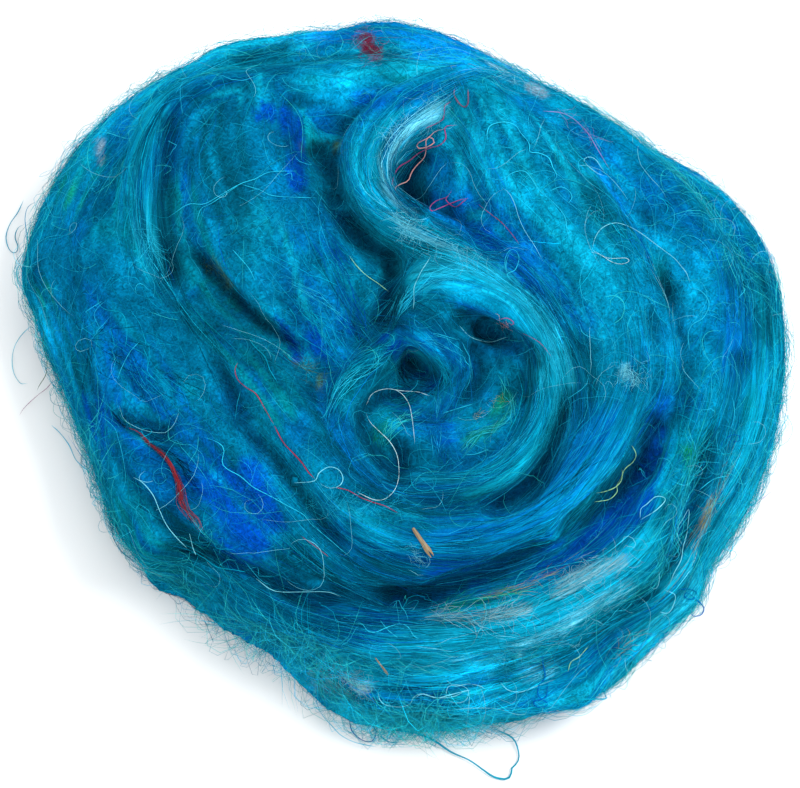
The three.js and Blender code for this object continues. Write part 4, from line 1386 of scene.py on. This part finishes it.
# Drawn fibres, of one dye along a path: dye, fibres, spread in pixels, length in mm, path and tangle.
# crooked is how much they bend.
strands = {
    "seed": 15,
    "places": 7,
    "radius": (0.036, 0.07),
    "lift": (0.1, 0.5),
    "crooked": 0.25,
    "rows": [
        ("seafoam", 26, 2.5, (5, 9), [(386, 438), (396, 424), (412, 415)], 0.15),
        ("teal", 40, 5, (5, 10), [(372, 425), (388, 412), (408, 404)], 0.15),
        ("green", 16, 2.5, (4, 8), [(372, 444), (378, 434), (386, 422)], 0.2),
        ("seafoam", 44, 2, (4, 9), [(502, 376), (509, 396), (510, 409), (499, 426), (476, 434),
                                    (468, 446)], 0.12),
        ("aqua", 30, 2, (5, 10), [(461, 474), (483, 472), (500, 465), (512, 452)], 0.12),
        ("cyan", 30, 2, (6, 12), [(546, 370), (539, 403), (524, 436), (502, 456)], 0.1),
        ("cerulean", 40, 4, (5, 10), [(408, 350), (428, 346), (446, 352), (460, 364), (466, 380)], 0.15),
        ("cyan", 22, 3, (4, 9), [(412, 344), (432, 338), (450, 345), (464, 360), (468, 378)], 0.15),
        ("aqua", 30, 3, (4, 9), [(412, 358), (432, 358), (445, 368), (446, 384)], 0.15),
        ("aqua", 36, 5, (9, 17), [(338, 402), (350, 384), (366, 370), (384, 358)], 0.15),
        ("cyan", 16, 3, (8, 14), [(338, 402), (350, 384), (366, 370), (384, 358)], 0.12),
        ("navy", 46, 4, (4, 9), [(394, 362), (408, 376), (430, 390)], 0.15),
        ("cerulean", 50, 6, (5, 11), [(436, 404), (440, 430), (444, 456)], 0.12),
        ("cyan", 12, 6, (5, 9), [(436, 404), (440, 430), (444, 456)], 0.12),
        ("cobalt", 50, 7, (6, 12), [(330, 250), (345, 285), (360, 325)], 0.12),
        ("aqua", 40, 6, (6, 14), [(305, 310), (325, 335), (345, 365)], 0.12),
        ("cyan", 16, 3, (5, 10), [(300, 288), (318, 298), (340, 322)], 0.1),
        ("cyan", 36, 3, (6, 12), [(392, 316), (410, 297), (432, 281), (455, 273)], 0.08),
        ("navy", 46, 3, (5, 10), [(120, 418), (150, 436), (178, 460), (194, 486)], 0.1),
        ("cerulean", 60, 8, (6, 12), [(205, 462), (217, 490), (230, 525)], 0.12),
        ("navy", 50, 5, (6, 12), [(300, 560), (340, 578), (390, 588), (440, 590)], 0.1),
        ("navy", 50, 6, (6, 12), [(440, 540), (500, 530), (550, 505), (590, 465)], 0.1),
        ("navy", 40, 5, (6, 12), [(400, 690), (450, 692), (520, 680)], 0.12),
        ("cyan", 50, 12, (6, 14), [(400, 640), (480, 640), (560, 612), (630, 572)], 0.15),
        ("pale", 20, 10, (5, 12), [(420, 650), (500, 648), (570, 622), (630, 585)], 0.2),
        ("navy", 50, 9, (6, 14), [(330, 625), (420, 632), (500, 626), (580, 596)], 0.12),
        ("cyan", 40, 8, (4, 10), [(380, 716), (440, 718), (500, 708), (560, 694)], 0.6),
        ("aqua", 40, 14, (5, 12), [(90, 345), (130, 365), (180, 400)], 0.3),
        ("navy", 30, 14, (5, 12), [(90, 345), (130, 365), (180, 400)], 0.3),
    ],
}
wisps = {
    "seed": 14,
    "places": 7,
    "radius": (0.016, 0.034),
    "lift": (0.3, 1.0),
    "crooked": 1.0,
    "rows": [
        ("ash", 70, 4, (4, 12), [(440, 614), (480, 616), (525, 610)], 0.6),
        ("ash", 120, 7, (2, 6), [(560, 585), (575, 578), (600, 570), (622, 564)], 2.5),
        ("pale", 70, 4, (5, 14), [(500, 652), (540, 638), (580, 618), (622, 592)], 0.5),
        ("cyan", 60, 4, (3, 8), [(484, 655), (505, 652), (525, 648)], 0.6),
        ("ash", 160, 7, (2, 6), [(318, 670), (342, 682), (366, 694)], 2.5),
        ("pale", 70, 6, (2, 6), [(628, 372), (636, 380)], 2.5),
        ("cyan", 60, 4, (4, 10), [(312, 505), (350, 505), (410, 515)], 0.6),
        ("pale", 24, 3, (2, 5), [(412, 552), (420, 558)], 1.0),
        ("pale", 110, 5, (2, 8), [(402, 218), (412, 234), (440, 246), (480, 262)], 1.6),
        ("pale", 110, 7, (3, 9), [(440, 106), (410, 120), (388, 142)], 0.8),
        ("maroon", 200, 4, (1.5, 4), [(364, 37), (366, 46), (375, 57)], 3.0),
        ("crimson", 70, 3, (1.5, 4), [(365, 40), (368, 47), (376, 56)], 3.0),
        ("mauve", 50, 6, (1.5, 4), [(362, 36), (366, 50), (378, 62)], 3.0),
        ("leaf", 40, 4, (4, 10), [(455, 608), (487, 600), (515, 595)], 0.3),
        ("orange", 26, 2, (4, 9), [(487, 595), (522, 590), (553, 573)], 0.3),
        ("green", 30, 4, (4, 9), [(470, 440), (495, 425), (506, 402)], 0.5),
        ("orange", 8, 2, (2, 4), [(474, 418), (486, 413)], 0.3),
        ("orange", 8, 2, (2, 4), [(496, 403), (503, 398)], 0.3),
        ("leaf", 24, 4, (2, 5), [(688, 448), (692, 464)], 0.6),
        ("orange", 16, 2, (3, 6), [(712, 500), (708, 514), (703, 528)], 0.2),
        ("orange", 16, 2, (4, 8), [(612, 655), (628, 642), (640, 632)], 0.3),
        ("olive", 20, 3, (3, 7), [(208, 262), (218, 272)], 0.5),
        ("olive", 20, 3, (3, 7), [(302, 362), (312, 374)], 0.5),
        ("dusk", 16, 2, (2, 4), [(101, 142), (100, 160)], 0.3),
        ("mauve", 16, 4, (4, 9), [(560, 112), (585, 128), (600, 150)], 0.4),
        ("dusk", 20, 4, (2, 4), [(531, 86), (542, 92)], 0.6),
        ("salmon", 14, 1.5, (2, 4), [(501, 321), (511, 324)], 0.4),
        ("cyan", 60, 3, (5, 12), [(143, 235), (150, 245), (158, 268)], 0.3),
    ],
}


def makeDrawnFibres(name, look):
    rng = np.random.default_rng(look["seed"])
    places, crooked = look["places"], look["crooked"]
    starts, headings, lengths, colours, tangles = [], [], [], [], []
    for dye, count, spread, length, path, tangle in look["rows"]:
        drawn = smoothRows(path, 12)
        ways = unit(np.gradient(drawn, axis=0))
        picked = rng.integers(0, len(drawn), count)
        pixels = drawn[picked] + spread * rng.standard_normal((count, 2))
        for ray, (right, down) in zip(raysThrough(pixels).tolist(), ways[picked]):
            spot = skin.tree.ray_cast(eye, ray)[0]
            if spot is not None:
                starts.append(spot)
                headings.append(right * rightWay - down * upWay)
                lengths.append(rng.uniform(*length) * mm)
                colours.append(np.array(dyes[dye]) * rng.uniform(0.6, 1.2))
                tangles.append(tangle)
    starts, lengths, colours = np.array(starts), np.array(lengths), np.array(colours)
    count = len(starts)
    tangles = np.array(tangles)[:, None]
    headings = unit(np.array(headings) + tangles * rng.standard_normal((count, 3)))
    bends = 0.4 * rng.standard_normal((count, 1)) / 3 + 0.2 * rng.standard_normal((count, places))
    bends = bends * (1 + 0.5 * tangles) * crooked
    starts = starts - headings * lengths[:, None] / 2
    paths, normals = walk(starts, headings, lengths / (places - 1), 0.0, bends)
    lift = 0.15 * crooked * rng.standard_normal((count, places)) + rng.uniform(*look["lift"], (count, 1))
    paths = paths + normals * (lift * mm)[:, :, None]
    radii = rng.uniform(*look["radius"], (count, 1)) * mm * taper(places, 4)
    addFibres(name, paths, normals, radii, colours)


makeDrawnFibres("strands", strands)
makeDrawnFibres("wisps", wisps)


# Red slub: a slack bundle of one dye, widest past its middle
redSlub = {
    "seed": 16,
    "count": 50,
    "places": 16,
    "radius": (0.03, 0.065),
    "path": [(122, 426), (138, 432), (150, 444), (163, 454), (171, 465), (177, 478), (180, 488), (182, 501),
             (187, 511), (196, 521), (203, 533)],
    "width": [0.4, 0.5, 0.9, 1.3, 1.2, 1.5, 2.2, 3.2, 3.2, 2.8, 1.8],  # in pixels, at each place of the path
}


def makeRedSlub():
    look = redSlub
    rng = np.random.default_rng(look["seed"])
    path = np.array(look["path"], float)
    way = np.gradient(path, axis=0)
    across = unit(np.column_stack([-way[:, 1], way[:, 0]])) * np.array(look["width"])[:, None]
    paths, colours = [], []
    for _ in range(look["count"]):
        offset = rng.standard_normal() + 0.5 * rng.standard_normal((len(path), 1))
        first, last = sorted(rng.choice(len(path), 2, replace=False))
        first, last = min(first, 4), max(last, 7)
        drawn = path[first : last + 1] + across[first : last + 1] * offset[first : last + 1]
        paths.append(throughPixels(drawn, look["places"], rng.uniform(0.2, 0.9) * mm))
        colours.append(np.array(dyes["brick"]) * rng.uniform(0.35, 1.15))
    paths = np.array(paths)
    count, places = paths.shape[:2]
    radii = rng.uniform(*look["radius"], (count, 1)) * mm * taper(places, 5)
    addFibres("red_slub", paths, np.broadcast_to(toEye, paths.shape), radii, np.array(colours), shadow=True)


makeRedSlub()


# Straw chips caught in the silk: ends in the photograph's pixels, and width and thickness in mm
straw = {
    "chips": [((413, 528), (433, 557), 1.9, 0.5), ((375, 656), (388, 673), 0.7, 0.25)],
    "rows": 8,
    "taper": (0.36, 0.5, 0.55, 0.55, 0.58, 0.72, 0.82, 0.7, 0.45),
    "notch": 0.24,  # the fork at the far end, as a share of the length
    "bevel": 0.06 * mm,
    "tans": ((0.3, (0.12, 0.075, 0.038, 1)), (0.7, (0.25, 0.19, 0.105, 1))),
}


def strawFibre():
    material, tree, chip = startMaterial("straw")
    grain = addNode(tree, "Attribute", "Vector", attribute="lay")
    stretch = addNode(tree, "Mapping", "Vector", {"Vector": grain, "Scale": (5.0, 0.4, 1.0)})
    lines = addNode(tree, "TexNoise", "Fac", {"Vector": stretch, "Scale": 1.0, "Detail": 4.0})
    tan = addNode(tree, "ValToRGB", inputs={"Fac": lines})
    for element, (position, colour) in zip(tan.color_ramp.elements, straw["tans"]):
        element.position = position
        element.color = colour
    bump = addNode(tree, "Bump", "Normal", {"Height": lines, "Strength": 0.5, "Distance": 0.1 * mm})
    setInputs(tree, chip, {
        "Base Color": tan.outputs["Color"],
        "Normal": bump,
        "Roughness": 0.6,
        "Specular IOR Level": 0.3,
    })
    return material


def makeStraw():
    joined = bmesh.new()
    joined.verts.layers.float_vector.new("lay")
    for first, last, width, thickness in straw["chips"]:
        near, far = throughPixels([first, last], 2, 0.0)
        _, ups, _ = findOnSkin(np.array([near, far]))
        along = Vector(far - near)
        up = Vector(ups.mean(0) + toEye).normalized()
        side = along.cross(up).normalized()
        up = side.cross(along).normalized()
        bm = bmesh.new()
        bmesh.ops.create_grid(bm, x_segments=2, y_segments=straw["rows"], size=0.5)
        for v in bm.verts:
            row = round((v.co.y + 0.5) * straw["rows"])
            v.co.z = 0.12 * math.sin(3 * v.co.y) - 0.5 * v.co.x**2
            if abs(v.co.x) < 0.1:
                v.co.y -= straw["notch"] * (row / straw["rows"]) ** 3
            v.co.x *= straw["taper"][row]
        bmesh.ops.recalc_face_normals(bm, faces=bm.faces)
        length = along.length
        for v in bm.verts:
            v.co = Vector((v.co.x * width * mm, v.co.y * length, v.co.z * width * mm))
        bmesh.ops.solidify(bm, geom=bm.faces[:], thickness=thickness * mm)
        bmesh.ops.recalc_face_normals(bm, faces=bm.faces)
        bmesh.ops.bevel(bm, geom=bm.edges[:], offset=straw["bevel"], offset_type="OFFSET", segments=1,
                        profile=0.5, affect="EDGES", material=-1, clamp_overlap=True)
        layer = bm.verts.layers.float_vector.new("lay")
        for v in bm.verts:
            v[layer] = v.co / mm
        turn = Matrix((side, along.normalized(), up)).transposed().to_4x4()
        middle = (Vector(near) + Vector(far)) / 2 + up * (thickness + 0.7) * mm
        bmesh.ops.transform(bm, matrix=Matrix.Translation(middle) @ turn, verts=bm.verts)
        part = bpy.data.meshes.new("chip")
        bm.to_mesh(part)
        bm.free()
        joined.from_mesh(part)
        bpy.data.meshes.remove(part)
    mesh = bpy.data.meshes.new("straw_chips")
    joined.to_mesh(mesh)
    joined.free()
    addPiece("straw_chips", mesh, strawFibre())


makeStraw()


# Floor and light
studio = {
    "floorSide": 6.0,
    "floorColour": (0.76, 0.76, 0.755, 1),
    "worldColour": (0.95, 0.98, 1.0, 1),
    "worldStrength": 1.6,
    "lamps": [  # name, place, side, watts
        ("key", (1.05, 0.18, 1.25), 0.8, 24.0),
    ],
}


def makeStudio():
    bm = bmesh.new()
    bmesh.ops.create_grid(bm, x_segments=2, y_segments=2, size=studio["floorSide"] / 2)
    mesh = bpy.data.meshes.new("floor")
    bm.to_mesh(mesh)
    bm.free()
    floor = bpy.data.objects.new("floor", mesh)
    bpy.context.scene.collection.objects.link(floor)
    material, tree, paper = startMaterial("white_paper")
    setInputs(tree, paper, {
        "Base Color": studio["floorColour"],
        "Roughness": 0.9,
        "Specular IOR Level": 0.1,
    })
    mesh.materials.append(material)
    for name, place, side, watts in studio["lamps"]:
        lamp = bpy.data.lights.new(name, "AREA")
        lamp.size = side
        lamp.energy = watts
        holder = bpy.data.objects.new(name, lamp)
        holder.location = place
        holder.rotation_euler = Vector(place).to_track_quat("Z", "Y").to_euler()
        bpy.context.scene.collection.objects.link(holder)
    world = bpy.data.worlds.new("studio_air")
    world.use_nodes = True
    air = world.node_tree.nodes["Background"]
    air.inputs["Color"].default_value = studio["worldColour"]
    air.inputs["Strength"].default_value = studio["worldStrength"]
    bpy.context.scene.world = world
    bpy.context.scene.view_settings.view_transform = "Standard"


makeStudio()
print("studio set")
